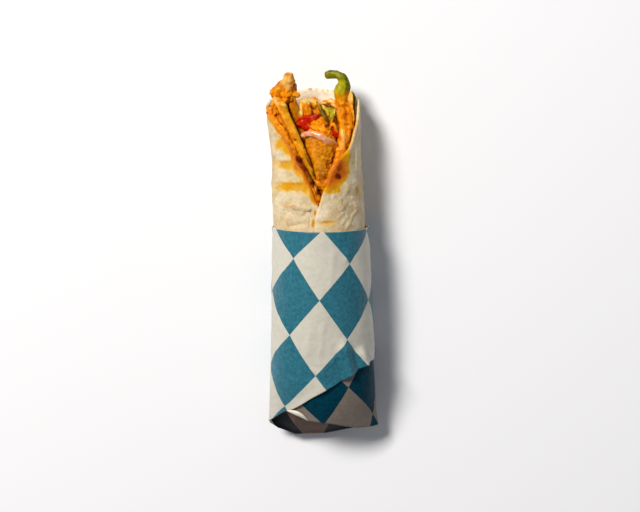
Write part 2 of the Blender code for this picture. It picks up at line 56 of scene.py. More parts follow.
# Paper
RIM_Y = 20.5
FOOT_Y = -112.0
FOOT_FLOOR = 1.2        # lowest level of the innermost layer
FOOT_INSET, FOOT_CRUMPLE = 0.3, 0.8     # its level inside its outline, and how strongly it is crumpled
CREASE_REACH = 6        # its sides are lifted to the crease of the sheets round it, within this power
OUTER_INSET, UNDER_INSET = 0.35, 0.95   # each sheet's level inside the outline, which its folds reach
DEEPEST_DENT = -0.12    # kept shallow, so that no sheet sinks into the one below
SLEEVE_RADIUS = 30.0
PAPER_THICK = 0.4       # drawn thicker than the real 0.05 mm, so that its white cut edge shows
LAP, LAP_TUCK = 14.0, 0.7               # the sheet's two sides overlap by this angle, one this far inside
OUTER_LIFT, UNDER_LIFT = 1.5, 1.0       # how far each sheet's free edge stands off the layer below
LIFT_RUN, LIFT_WAVE = 9.0, 16.0         # the length over which it rises, and the size of its waves
RIM_PULL, RIM_PULL_RUN = 4.6, 15.0      # the print is drawn down over this length below the rim
RIM_SLIDE = (1.2, 1.8, 45.0)            # and to the right and down on the right side, over the last length
SIDE_START, SIDE_SCALE = -20.5, 0.8     # left of this line the print is stretched across
FOOT_LEAN, FOOT_STRETCH = 0.105, 0.563  # the print's slant on the gathered foot, and its scale along it
PITCH = 1.0             # distance between a sheet's mesh points

# Flatbread
BREAD_THICK = 1.9
BREAD_MID = 1.0         # the middle of its thickness, inward from the outline
BREAD_ROUND = 1.1       # its edges are rounded over this width
BREAD_RADIUS = 27.5     # for lengths round the roll
BREAD_TURN_STEP = 2.33  # each turn lies this much further in
BREAD_TOP_FLOOR, BREAD_FOOT_FLOOR = 1.2, 2.3    # its lowest level, which rises where the paper's cup starts
CUP_CLEAR_Y = -25.0
BREAD_BARE = (12.0, 30.0)               # the paper presses its blisters flat below here
BLISTER_SIZE, BLISTER_HEIGHT = 6.0, 1.1
ROLL_START, ROLL_END = 30.0, -365.0
BREAD_FOOT_Y = -89.0
BREAD_FINE_Y = -4.0     # the sheet is meshed finely from here up, where it shows
HIDDEN_ROWS, SHOWN_ROWS = 9, 106
BREAD_TURNS = ((ROLL_START, -75.0, -0.95), (-75.0, -285.0, -2.2), (-285.0, ROLL_END, -0.95))

# Tubes, as rows of: y, left x, right x, front z, back z
PAPER_OUTLINE = (
    (RIM_Y, -30.1, 28.2, 56.2, -1.8),
    (-15.0, -30.6, 30.4, 55.8, -1.8),
    (-43.0, -31.1, 31.6, 53.4, -1.8),
    (-60.0, -31.5, 32.3, 50.9, -1.6),
    (-77.0, -31.8, 33.4, 47.0, -1.0),
    (-90.0, -32.3, 34.2, 41.5, -0.2),
    (-98.0, -32.8, 34.9, 36.5, 0.8),
    (-108.0, -33.4, 35.6, 28.0, 2.6),
)
CUP_OUTLINE = (
    (-45.0, -29.4, 29.8, 51.2, 0.6),
    (-60.0, -29.7, 30.4, 49.4, 0.8),
    (-77.0, -30.0, 31.4, 45.4, 1.4),
    (-90.0, -30.6, 32.2, 39.0, 2.2),
    (-98.0, -31.2, 32.8, 31.0, 3.4),
    (-104.0, -31.8, 33.3, 22.5, 5.2),
    (-109.0, -32.2, 33.6, 14.0, 7.4),
    (FOOT_Y, -32.4, 33.8, 10.2, 8.8),
)
BREAD_OUTLINE = (
    (102.0, -36.2, 22.2, 53.5, 0.0),
    (90.0, -34.8, 22.8, 53.5, 0.0),
    (66.0, -32.4, 23.6, 53.5, 0.0),
    (36.0, -31.4, 25.4, 53.5, 0.0),
    (RIM_Y, -30.5, 26.2, 53.5, 0.0),
    (-15.0, -30.4, 26.8, 53.2, 0.0),
    (-43.0, -30.2, 28.0, 50.6, 0.8),
    (-60.0, -30.2, 28.6, 47.6, 1.4),
    (-77.0, -29.8, 29.2, 42.6, 2.2),
    (-90.0, -29.4, 29.4, 33.6, 3.4),
)

# Free edges of the paper: angle from the front (degrees, right is positive), y
OUTER_EDGE = (
    (-180, -64), (-150, -80), (-120, -95), (-88, -101.4), (-62, -97.5), (-43, -91.5),
    (-36, -89.9), (-9, -79.3), (17.5, -70.2), (44, -62), (75, -59), (110, -57), (145, -57), (180, -64),
)
UNDER_EDGE = (
    (-180, -101), (-120, -100), (-88, -99.6), (-62, -95.5), (-43, -90), (-30, -93.4),
    (-15, -96.8), (4, -98.4), (36, -103.2), (60, -104.0), (90, -103.6), (130, -102.5), (180, -101),
)
FOOT_LINE = ((-33, -101.8), (-27.3, -107.3), (-16.5, -111.9), (2.2, -111.2), (20.6, -107.5), (35, -103.8))
CURL_LINE = (
    (0.0, -21.1, -91.0), (0.25, -17.4, -91.8), (0.5, -13.9, -92.8), (0.75, -10.7, -94.4), (1.0, -8.1, -96.6),
)
CURL_WIDTH, CURL_CLEAR = 4.0, 1.1
UNDER_START = -30.0
CUP_START = -45.0
FOLD_START, FOLD_END = -70.0, -104.0

# Rim of the flatbread: unrolled angle in degrees, y
BREAD_RIM = (
    (30, 4), (18, 16), (8, 27), (1.7, 35.4), (-0.4, 37.1), (-3.5, 42.6), (-8.4, 48.4), (-16, 55.7),
    (-23.6, 59.6), (-32.2, 69), (-47, 78.5), (-62, 84), (-78, 88), (-90, 91.5), (-120, 97), (-150, 100),
    (-180, 101.9), (-215, 101), (-250, 98), (-270, 95.6), (-288, 84.5), (-299, 78), (-304, 73.2),
    (-311, 68.6), (-329, 62), (-339.5, 56), (-350, 45.5), (-354, 41), (-358, 34.8), (-361, 31.4),
    (-363.6, 27), (-365, 14),
)

# Harlequin print: a diamond's width and height, then for each layer a corner of
# the pattern (round the tube, along it) and its turn in degrees
DIAMOND = (35.3, 46.4)
OUTER_PRINT = (-20.5, -41.9, -3.4)
UNDER_PRINT = (35.1, -95.5, 6.0)
FOOT_PRINT = (-34.9, -94.5, 0.0)

# Folds pressed into the outer sheet: from (round, along) to (round, along), half width, height
PAPER_FOLDS = (
    (11.8, -41.0, 16.0, -68.0, 5.6, 3.3),
    (23.5, -48.0, 27.5, -66.0, 5.5, 3.4),
    (1.0, -54.0, -1.0, -74.0, 3.5, 0.5),
    (23.0, 19.0, 16.0, 4.0, 2.5, 0.45),
    (2.0, -28.0, -2.0, -58.0, 2.5, 0.4),
    (-6.0, -30.0, -9.0, -52.0, 3.0, 0.35),
    (9.0, 14.0, 4.0, -14.0, 3.0, 0.35),
    (-8.0, -61.0, -2.5, -64.5, 2.0, 0.5),
    (3.5, -60.5, 8.0, -54.5, 1.8, 0.5),
    (-24.0, -66.0, -14.0, -78.0, 3.0, 0.4),
)

# Folds and dents in the bread, in the same way
BREAD_FOLDS = (
    (-24.0, 33.2, -14.6, 34.6, 1.9, 0.7),
    (-14.6, 34.6, -4.7, 33.6, 1.7, 0.95),
    (-9.0, 29.0, -5.6, 32.2, 1.8, -0.8),
    (-20.0, 22.6, -9.0, 24.6, 2.0, -0.7),
    (-4.0, 32.4, -4.3, 29.8, 0.9, -1.3),
    (-5.0, 28.0, -5.5, 23.2, 1.0, -1.4),
    (14.0, 33.0, 18.5, 37.0, 1.7, 0.35),
    (15.5, 34.0, 20.0, 28.5, 1.7, 0.35),
    (22.0, 28.0, 26.0, 31.5, 1.3, 0.5),
    (12.4, 28.5, 15.6, 31.0, 1.2, 0.4),
    (14.2, 24.6, 18.2, 28.4, 1.3, 0.35),
    (17.2, 22.0, 21.8, 27.0, 1.3, 0.35),
    (23.5, 39.0, 28.0, 32.0, 1.7, 0.6),
    (10.0, 40.5, 14.0, 35.5, 1.7, 0.5),
    (19.0, 47.0, 24.0, 42.0, 1.8, 0.5),
)

# Marks on the outside of the bread, seen from the front: x, y, half length, half width, turn, strength
GRILL_LINES_AND_SEAM_SHADE = (
    (-22.5, 73.5, 4.5, 0.8, -25, 0.5),
    (-21.0, 60.6, 6.4, 1.0, 2, 0.8),
    (-18.0, 48.0, 8.6, 0.9, 2, 0.8),
    (-18.8, 34.8, 5.0, 0.6, 4, 0.5),
    (2.4, 26.2, 4.8, 0.8, 2, 0.8),
    (20.6, 43.0, 1.3, 2.8, 0, 0.6),
    # The last two, along the seam under the right flap's edge, are painted shade of its small gaps, coloured
    # as toast
    (-4.1, 31.1, 0.8, 1.8, -8, 0.6),
    (-5.2, 25.4, 0.8, 2.6, -8, 0.6),
)
OIL_SPOTS_AND_SEAM_SHADE = (
    (-24.0, 71.0, 4.2, 4.0, 0, 1.0),
    (-20.0, 68.0, 5.6, 3.4, -40, 1.0),
    (-20.5, 58.4, 8.6, 3.2, 0, 0.8),
    (-14.6, 56.6, 2.6, 6.4, 24, 0.9),
    (-17.6, 46.2, 12.0, 3.4, 2, 0.9),
    (-9.6, 46.6, 3.4, 5.0, 20, 1.0),
    (4.0, 25.4, 6.6, 2.4, 2, 0.5),
    (20.6, 43.0, 2.0, 4.2, 0, 0.4),
    # The last two, along the seam, are painted shade of the same small gaps
    (-4.1, 31.1, 0.9, 1.9, -8, 1.0),
    (-5.2, 25.4, 0.9, 2.8, -8, 1.0),
)
STAIN_LINE = (
    (16.0, 74.0), (15.6, 68.5), (16.8, 64.4), (16.0, 57.1), (16.4, 53.8), (14.8, 50.6),
    (11.9, 47.3), (10.3, 43.2), (7.1, 42.0), (3.0, 42.8), (1.0, 43.6), (-2.0, 43.6),
)
# Lighter places in the sauce stain on the right flap: painted light where the flap turns away from the lamp,
# in the same way
PAINTED_LIGHT_SPOTS = (
    (6.7, 45.7, 4.6, 3.4, 20, 1.0),
    (12.8, 65.0, 3.4, 5.6, 0, 1.0),
)
BURNT_SPOTS = (
    (10.3, 57.9, 2.2, 4.8, -12, 0.85),
    (8.9, 52.2, 2.9, 3.2, 0, 1.0),
)

# Dark chilli oil and painted shade in gaps, hollows and shaded pieces, and pale cream and painted highlights,
# on the fillings, in the same way
CHILLI_AND_SHADE_SPOTS = (
    (5.0, 58.5, 7.0, 1.2, 68, 0.45),
    (0.0, 53.0, 6.0, 3.0, 80, 0.55),
    (-16.2, 90.5, 8.0, 2.4, -68, 0.5),
    (0.6, 88.0, 7.0, 1.2, -66, 0.5),
    (-9.9, 55.0, 10.0, 2.6, -63, 0.85),
    (-14.6, 61.0, 19.0, 2.8, -63, 0.45),
    (-22.8, 82.7, 9.0, 2.0, -60, 0.3),
    (14.4, 81.9, 2.4, 0.8, 0, 0.6),
    (11.0, 90.0, 0.8, 3.0, 0, 0.35),
    (14.0, 86.0, 5.0, 2.6, 90, 0.3),
    (5.5, 72.0, 4.5, 2.0, -30, 0.3),
    (-2.4, 41.0, 4.5, 2.4, -72, 0.35),
    (-13.4, 61.8, 4.0, 1.7, -55, 1.0),
    (-9.9, 56.0, 4.0, 2.1, -58, 1.0),
    (-6.0, 48.4, 3.2, 2.2, -50, 1.0),
    (-1.7, 43.4, 2.6, 2.6, 0, 1.0),
    (-7.6, 60.5, 5.0, 0.8, -62, 0.8),
    (-4.8, 53.2, 3.0, 0.8, -60, 0.8),
    (-10.4, 68.8, 0.6, 0.7, 0, 0.9),
    (-23.9, 97.3, 1.2, 1.0, 0, 0.8),
    (-19.4, 97.3, 1.3, 1.1, 0, 0.9),
    (-16.4, 104.7, 0.9, 0.6, 60, 0.8),
    (-27.0, 87.1, 0.6, 0.6, 0, 1.0),
    (-24.8, 82.8, 1.2, 0.4, -60, 0.8),
    (-15.5, 73.5, 0.7, 0.7, 0, 0.9),
    (-18.4, 87.9, 0.9, 0.5, -60, 0.6),
    (-3.4, 91.3, 2.2, 1.7, 0, 0.45),
    (2.7, 80.9, 1.5, 1.0, 0, 1.0),
    (9.3, 81.8, 0.9, 3.2, 0, 0.8),
    (12.5, 92.2, 2.0, 1.4, 0, 0.55),
)
# Pale cream, and painted highlights and painted light on lit edges and tops of the pieces
CREAM_AND_LIGHT_SPOTS = (
    (-8.6, 95.2, 4.6, 1.5, -10, 1.0),
    (-1.0, 93.8, 5.0, 1.1, -10, 1.0),
    (5.6, 92.8, 3.2, 1.0, -8, 0.8),
    (12.4, 72.5, 5.0, 1.8, 80, 0.3),
    (-12.6, 92.0, 0.8, 2.2, 0, 0.7),
    (-12.5, 88.2, 1.2, 1.4, 0, 0.9),
    (5.2, 94.9, 2.0, 1.4, 0, 1.0),
    (11.6, 77.3, 0.7, 2.4, 0, 0.9),
    (-22.5, 93.4, 2.4, 0.6, -15, 0.5),
    (-27.0, 95.4, 2.4, 1.3, -60, 0.6),
    (-20.4, 106.8, 4.4, 5.0, 0, 0.42),
    (-12.8, 90.6, 1.2, 3.2, 0, 0.3),
    (16.8, 97.6, 1.8, 3.6, 0, 0.5),
)


# Numbers

def linear(code):
    """Linear colour of an sRGB hex code."""
    values = [int(code[k:k + 2], 16) / 255 for k in (1, 3, 5)]
    return [v / 12.92 if v <= 0.04045 else ((v + 0.055) / 1.055) ** 2.4 for v in values] + [1.0]


def ramp(value, start, end):
    """0 at start, 1 at end, with a soft turn at both."""
    t = np.clip((value - start) / (end - start), 0.0, 1.0)
    return t * t * (3 - 2 * t)


def curve(value, rows, column=1):
    """Smooth curve through one column of rows, read at an array of values."""
    rows = sorted(rows)
    at = np.array([row[0] for row in rows], float)
    heights = np.array([row[column] for row in rows], float)
    value = np.clip(value, at[0], at[-1])
    k = np.clip(np.searchsorted(at, value, side="right") - 1, 0, len(at) - 2)
    slopes = np.gradient(heights, at)
    span = at[k + 1] - at[k]
    t = (value - at[k]) / span
    return (
        (2 * t**3 - 3 * t**2 + 1) * heights[k] + (t**3 - 2 * t**2 + t) * span * slopes[k]
        + (3 * t**2 - 2 * t**3) * heights[k + 1] + (t**3 - t**2) * span * slopes[k + 1]
    )


def straight(value, rows):
    """Straight-line reading of rows of two values."""
    rows = sorted(rows)
    return np.interp(value, [row[0] for row in rows], [row[1] for row in rows])


def ripple(points, size, seed, octaves=1):
    """Smooth noise, about -1 to 1, with lumps of one size in mm and finer ones on them."""
    shift = Vector((seed * 3.7, seed * 1.9, seed * 2.3))
    flat = np.reshape(points, (-1, 3)) / size
    values = [noise.fractal(Vector(point) + shift, 1.0, 2.0, octaves) for point in flat]
    return np.reshape(values, points.shape[:-1])


def grains(points, size, seed):
    """Rounded grains of one size in mm, packed side by side: 0 between them, 1 on top."""
    shift = Vector((seed * 3.7, seed * 1.9, seed * 2.3))
    flat = np.reshape(points, (-1, 3)) / size
    near = np.array([noise.voronoi(Vector(point) + shift)[0][0] for point in flat])
    return np.reshape(np.clip(1 - (near / 0.75) ** 2, 0.0, 1.0), points.shape[:-1])


def side_of(points, line):
    """Distance in mm from a line seen from the front: above 0 on the left of its run, else below."""
    best = np.full(len(points), 1e9)
    side = np.zeros(len(points))
    for start, end in zip(line, line[1:]):
        run = np.subtract(end, start)
        share = np.clip(((points[:, :2] - start) @ run) / (run @ run), 0, 1)
        off = points[:, :2] - start - share[:, None] * run
        reach = np.hypot(off[:, 0], off[:, 1])
        signed = (run[0] * off[:, 1] - run[1] * off[:, 0]) / np.hypot(*run)
        side = np.where(reach < best, signed, side)
        best = np.minimum(best, reach)
    return side


# Tubes

def on_tube(outline, y, angle, inset, floor, power=1.0):
    """Points of a tube: angle in degrees from the front, inset inward, flat on the floor."""
    left, right, front, back = (curve(y, outline, column) for column in (1, 2, 3, 4))
    side, up = np.sin(np.radians(angle)), np.cos(np.radians(angle))
    x = (left + right) / 2 + ((right - left) / 2 - inset) * side
    z = (front + back) / 2 + ((front - back) / 2 - inset) * np.sign(up) * np.abs(up) ** power
    return np.stack(np.broadcast_arrays(x, y, np.maximum(z, floor)), axis=-1)


def middle_of(outline, y):
    """Level halfway between a tube's front and back."""
    return (curve(y, outline, 3) + curve(y, outline, 4)) / 2


def fold_power(y):
    """Section exponent: 1 is an ellipse, more is a lens with sharp sides."""
    return 1.0 + 0.7 * ramp(-y, -FOLD_START, -FOLD_END)


def girth(angle):
    """Distance round the paper from its front line, in mm."""
    turns = np.radians(np.linspace(-220, 220, 1761))
    left, right, front, back = PAPER_OUTLINE[1][1:]
    steps = np.hypot((right - left) / 2 * np.cos(turns), (front - back) / 2 * np.sin(turns))
    length = np.cumsum(steps) * (turns[1] - turns[0])
    return np.interp(np.radians(angle), turns, length - np.interp(0.0, turns, length))


# Meshes

def piece(name, points, faces, finishes, crease=50):
    """Object from drawing points in mm and lists of faces, shaded smooth, which rides with the wrap."""
    mesh = bpy.data.meshes.new(name)
    mesh.from_pydata(((np.reshape(points, (-1, 3)) - MIDDLE) * MM).tolist(), [], faces)
    for finish in finishes:
        mesh.materials.append(finish)
    mesh.shade_smooth()
    mesh.set_sharp_from_angle(angle=math.radians(crease))
    return enter(bpy.data.objects.new(name, mesh))


def enter(made):
    """Put an object in the scene, on the wrap's one body."""
    bpy.context.scene.collection.objects.link(made)
    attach(made, "root")
    return made


def settle(made):
    """Replace an object's mesh by its evaluated mesh."""
    graph = bpy.context.evaluated_depsgraph_get()
    graph.update()
    mesh = bpy.data.meshes.new_from_object(made.evaluated_get(graph))
    made.modifiers.clear()
    made.data = mesh
    return made


def note(made, name, values):
    """Store one number, or one vector, at each mesh point for the materials to read."""
    kind, field = ("FLOAT_VECTOR", "vector") if np.ndim(values) > 1 else ("FLOAT", "value")
    layer = made.data.attributes.new(name, kind, "POINT")
    layer.data.foreach_set(field, np.ascontiguousarray(values, dtype=np.float32).ravel())


def grid_faces(rows, columns, loop=False):
    """Four-sided faces of a grid of points, facing out."""
    index = np.arange(rows * columns).reshape(rows, columns)
    if loop:
        index = np.concatenate([index, index[:, :1]], axis=1)
    corners = (index[:-1, :-1], index[1:, :-1], index[1:, 1:], index[:-1, 1:])
    return np.stack(corners, axis=-1).reshape(-1, 4)


def thicken(made, thickness):
    """Give an open sheet its thickness inward; its back and cut edge take the second finish."""
    shell = made.modifiers.new("thickness", "SOLIDIFY")
    shell.thickness = thickness * MM
    shell.offset = -1.0
    shell.material_offset = 1
    shell.material_offset_rim = 1
    return settle(made)


def places(made):
    """An object's mesh points, in the drawing's mm."""
    flat = np.empty(len(made.data.vertices) * 3, np.float32)
    made.data.vertices.foreach_get("co", flat)
    return flat.reshape(-1, 3).astype(float) / MM + MIDDLE


def outward(made):
    """The direction out of the surface at each mesh point."""
    flat = np.empty(len(made.data.vertices) * 3, np.float32)
    made.data.vertex_normals.foreach_get("vector", flat)
    return flat.reshape(-1, 3).astype(float)


def move_to(made, points):
    """Give an object's mesh points new places, in the drawing's mm."""
    made.data.vertices.foreach_set("co", ((points - MIDDLE) * MM).astype(np.float32).ravel())
    made.data.update()


# Nodes of the materials

def feed(node, sockets):
    """Fill a node's sockets: an output is linked, anything else is set as a value."""
    for socket, value in sockets.items():
        if isinstance(value, bpy.types.NodeSocket):
            node.id_data.links.new(value, node.inputs[socket])
        else:
            node.inputs[socket].default_value = value
    return node


def add(tree, kind, sockets=(), out=0, stops=(), **settings):
    """Add a shader node with its settings and links, and give one of its outputs."""
    node = tree.nodes.new("ShaderNode" + kind)
    for name, value in settings.items():
        setattr(node, name, value)
    for k, (place, code) in enumerate(stops):
        band = node.color_ramp.elements
        stop = band[k] if k < len(band) else band.new(place)
        stop.position = place
        stop.color = linear(code)
    return feed(node, dict(sockets)).outputs[out]


def surface(name, sockets):
    """A material and its node tree, with values set on its surface shader."""
    made = bpy.data.materials.new(name)
    made.use_nodes = True
    feed(made.node_tree.nodes["Principled BSDF"], sockets)
    return made, made.node_tree


def lay(tree, sockets):
    """Fill the surface shader's sockets from nodes."""
    feed(tree.nodes["Principled BSDF"], sockets)


def noted(tree, colour, name, over):
    """Lay another colour over one, as far as a note on the mesh says."""
    amount = add(tree, "Attribute", attribute_name=name, out=2)
    return add(tree, "Mix", {0: amount, 6: colour, 7: over}, out=2, data_type="RGBA")


# Finishes

def greaseproof(name, corner, light, ink, rough, shine):
    """Greaseproof paper printed with flat ink: smooth and calendered, so a soft sheen runs along its folds.

    The ink has a faint mottle, and the bare paper shows its pulp.
    """
    made, tree = surface(name, {"Roughness": rough, "IOR": 1.5, "Specular IOR Level": shine})
    sheet = add(tree, "Attribute", attribute_name="sheet", out=1)
    round_the, along_the, turn = corner
    placed = add(tree, "Mapping", {
        "Vector": sheet,
        "Location": Matrix.Rotation(math.radians(-turn), 3, "Z") @ Vector((-round_the, -along_the, 0)),
        "Rotation": (0, 0, math.radians(-turn)),
    })
    wide = add(tree, "VectorMath", {0: placed, 1: (1 / DIAMOND[0], 0, 0)}, out=1, operation="DOT_PRODUCT")
    tall = add(tree, "VectorMath", {0: placed, 1: (0, 1 / DIAMOND[1], 0)}, out=1, operation="DOT_PRODUCT")
    bands = []
    for lean in ("ADD", "SUBTRACT"):
        leaning = add(tree, "Math", {0: wide, 1: tall}, operation=lean)
        bands.append(add(tree, "Math", {0: leaning}, operation="FLOOR"))
    both = add(tree, "Math", {0: bands[0], 1: bands[1]}, operation="ADD")
    inked = add(tree, "Math", {0: both, 1: 2.0}, operation="FLOORED_MODULO")
    place = add(tree, "TexCoord", out=3)
    pulp = add(tree, "TexNoise", {"Vector": place, "Scale": 1000 / 2.2, "Detail": 5.0, "Roughness": 0.65})
    bare = add(tree, "ValToRGB", {0: pulp}, stops=((0.25, light[0]), (0.75, light[1])))
    printed = add(tree, "ValToRGB", {0: pulp}, stops=((0.25, ink[0]), (0.75, ink[1])))
    colour = add(tree, "Mix", {0: inked, 6: bare, 7: printed}, out=2, data_type="RGBA")
    bump = add(tree, "Bump", {"Height": pulp, "Strength": 0.12, "Distance": 0.0002})
    lay(tree, {"Base Color": colour, "Normal": bump})
    return made


def bare_paper(name, light, dark):
    """The unprinted back and cut edge of greaseproof paper: warm white, matt."""
    made, tree = surface(name, {"Roughness": 0.55, "IOR": 1.5})
    place = add(tree, "TexCoord", out=3)
    pulp = add(tree, "TexNoise", {"Vector": place, "Scale": 1000 / 2.0, "Detail": 5.0})
    lay(tree, {"Base Color": add(tree, "ValToRGB", {0: pulp}, stops=((0.3, dark), (0.7, light)))})
    return made


def baked_flatbread():
    """Griddled wheat flatbread: matt and floury, mottled cream, with toasted and oil-soaked patches; the same
    notes also lay painted shade and painted light.
    """
    made, tree = surface("baked_flatbread", {
        "Roughness": 0.62, "IOR": 1.4, "Subsurface Weight": 0.12, "Subsurface Scale": 0.004,
        "Subsurface Radius": (1.0, 0.5, 0.25), "Specular IOR Level": 0.25,
    })
    place = add(tree, "TexCoord", out=3)
    patch = add(tree, "TexNoise", {"Vector": place, "Scale": 1000 / 9.0, "Detail": 6.0, "Roughness": 0.6})
    crumb = add(tree, "TexNoise", {"Vector": place, "Scale": 1000 / 1.6, "Detail": 4.0, "Roughness": 0.6})
    wrinkle = add(tree, "TexNoise", {"Vector": place, "Scale": 1000 / 5.0, "Detail": 3.0, "Distortion": 1.2})
    dough = add(tree, "ValToRGB", {0: patch}, stops=(
        (0.3, "#c3aa82"), (0.45, "#cfbb95"), (0.6, "#dacaab"), (0.72, "#e2d6bd")))
    flecks = add(tree, "ValToRGB", {0: crumb}, stops=((0.35, "#c9b084"), (0.55, "#ffffff")))
    dough = add(tree, "Mix", {0: 0.22, 6: dough, 7: flecks}, out=2, data_type="RGBA", blend_type="MULTIPLY")
    dough = noted(tree, dough, "pale", linear("#efe6d2"))
    # The stain note also carries painted light on the right flap and rim, and painted shade in the seam's
    # small gaps
    stain_and_painted_light = add(tree, "Attribute", attribute_name="stain_and_painted_light", out=2)
    soaked = add(tree, "ValToRGB", {0: stain_and_painted_light}, stops=(
        (0.0, "#e6c67a"), (0.14, "#deae2c"), (0.27, "#d49c02"), (0.4, "#d48900"), (0.56, "#c86a02"),
        (0.72, "#a34502"), (0.88, "#6e1f02"), (1.0, "#3f0801")))
    amount = add(tree, "Math", {0: stain_and_painted_light, 1: 3.6}, operation="MULTIPLY", use_clamp=True)
    dough = add(tree, "Mix", {0: amount, 6: dough, 7: soaked}, out=2, data_type="RGBA")
    # The toast note also carries painted shade in the seam's small gaps
    toasted = add(tree, "ValToRGB", {0: crumb}, stops=((0.3, "#a2620a"), (0.7, "#c6831a")))
    colour = noted(tree, dough, "toast_and_seam_shade", toasted)
    wet = add(tree, "MapRange", {"Value": stain_and_painted_light, 1: 0.1, 2: 0.6, 3: 0.62, 4: 0.4})
    fine = add(tree, "Bump", {"Height": crumb, "Strength": 0.2, "Distance": 0.0004})
    bump = add(tree, "Bump", {"Height": wrinkle, "Strength": 0.45, "Distance": 0.0012, "Normal": fine})
    lay(tree, {"Base Color": colour, "Roughness": wet, "Normal": bump})
    return made


SAUCE = ((0.23, "#8a2a02"), (0.37, "#c46202"), (0.5, "#e28404"), (0.64, "#f19d08"), (0.82, "#f7b828"))


def food(name, clean, patch, grain, depth, dry, wet_coat, soft):
    """A filling's own finish, and the creamy chilli sauce that films it where the note says so.

    The clean food is mottled in patches of one size and grainy at another, both
    in mm as is the depth of its grain; dry is its roughness, wet_coat its juice or
    oil and soft how far light sinks in. The sauce is glossy and orange, dark red
    where its oil gathers and pale where its cream does. The same two notes also lay
    painted shade in gaps, hollows and shaded pieces, and painted highlights and light
    on lit edges and tops.
    """
    made, tree = surface(name, {
        "IOR": 1.42, "Specular IOR Level": 0.05, "Coat IOR": 1.45, "Coat Roughness": 0.14,
        "Coat Weight": wet_coat, "Subsurface Weight": soft, "Subsurface Scale": 0.003,
    })
    place = add(tree, "TexCoord", out=3)
    blotch = add(tree, "TexNoise", {"Vector": place, "Scale": 1000 / patch, "Detail": 4.0, "Roughness": 0.6})
    speck = add(tree, "TexNoise", {"Vector": place, "Scale": 1000 / grain, "Detail": 3.0, "Roughness": 0.6})
    swirl = add(tree, "TexNoise", {
        "Vector": place, "Scale": 1000 / 3.4, "Detail": 5.0, "Roughness": 0.65, "Distortion": 0.6})
    own = add(tree, "ValToRGB", {0: blotch}, stops=clean)
    shade = add(tree, "ValToRGB", {0: speck}, stops=((0.3, "#c8a070"), (0.6, "#ffffff")))
    own = add(tree, "Mix", {0: 0.5, 6: own, 7: shade}, out=2, data_type="RGBA", blend_type="MULTIPLY")
    colour = noted(tree, own, "film", add(tree, "ValToRGB", {0: swirl}, stops=SAUCE))
    # Pale cream, which also lays painted highlights and painted light
    colour = noted(tree, colour, "cream_and_painted_light", linear("#f4cf78"))
    # Dark red for the chilli oil, which also lays painted shade in gaps and hollows
    colour = noted(tree, colour, "chilli_and_painted_shade", linear("#601603"))
    film = add(tree, "Attribute", attribute_name="film", out=2)
    wet = add(tree, "MapRange", {"Value": film, 1: 0.0, 2: 0.8, 3: dry, 4: 0.55})
    bump = add(tree, "Bump", {"Height": speck, "Strength": 0.3, "Distance": depth * MM})
    lay(tree, {"Base Color": colour, "Roughness": wet, "Normal": bump})
    return made


def green_pepper():
    """Raw green pepper: dark waxy skin on the outside of the strip, wet yellow-green flesh inside."""
    made, tree = surface("green_pepper", {
        "Roughness": 0.4, "IOR": 1.42, "Specular IOR Level": 0.12, "Coat Weight": 0.08, "Coat Roughness": 0.2,
        "Subsurface Weight": 0.1, "Subsurface Scale": 0.003, "Subsurface Radius": (0.6, 1.0, 0.2),
    })
    place = add(tree, "TexCoord", out=3)
    blotch = add(tree, "TexNoise", {"Vector": place, "Scale": 1000 / 3.0, "Detail": 4.0})
    flesh = add(tree, "ValToRGB", {0: blotch}, stops=((0.3, "#838603"), (0.55, "#a59c05"), (0.75, "#bfae0c")))
    rind = add(tree, "ValToRGB", {0: blotch}, stops=((0.3, "#3f4c02"), (0.6, "#5c6703"), (0.8, "#7a8206")))
    sauce = add(tree, "ValToRGB", {0: blotch}, stops=((0.3, "#c07402"), (0.6, "#da9206"), (0.8, "#ecb41c")))
    colour = noted(tree, noted(tree, flesh, "skin", rind), "film", sauce)
    # Dark brown for the chilli oil, which also lays painted shade at the hook's base
    colour = noted(tree, colour, "chilli_and_painted_shade", linear("#7a3603"))
    bump = add(tree, "Bump", {"Height": blotch, "Strength": 0.2, "Distance": 0.0004})
    lay(tree, {"Base Color": colour, "Normal": bump})
    return made


def matt_floor():
    """Matt white painted board under the wrap."""
    made, _ = surface("matt_floor", {"Roughness": 0.9, "Base Color": linear("#f2f4fa")})
    return made


# Paper

def pressed(around, along, folds, rising=False):
    """Height of the folds pressed into a sheet, which can rise from nothing at their start."""
    height = np.zeros_like(around)
    for from_round, from_along, to_round, to_along, half, tall in folds:
        run = np.array((to_round - from_round, to_along - from_along))
        share = ((around - from_round) * run[0] + (along - from_along) * run[1]) / (run @ run)
        share = np.clip(share, 0.0, 1.0)
        off = np.hypot(around - from_round - share * run[0], along - from_along - share * run[1])
        height += tall * np.clip(1 - off / half, 0.0, 1.0) * (ramp(share, 0.0, 0.35) if rising else 1.0)
    return height


def crumple(around, along, seed):
    """Soft folds and creases of wrapped paper: sharp valleys between rounded fields."""
    spot = np.stack([around + 0.35 * along, along - 0.2 * around, np.zeros_like(around)], axis=-1)
    stretched = spot * (1.0, 0.55, 1.0)
    broad = np.abs(ripple(stretched, 17.0, seed)) - 0.2
    fine = np.abs(ripple(spot, 7.5, seed + 1)) - 0.2
    crinkle = ripple(spot, 3.2, seed + 2)
    return 1.0 * broad + 0.38 * fine + 0.05 * crinkle


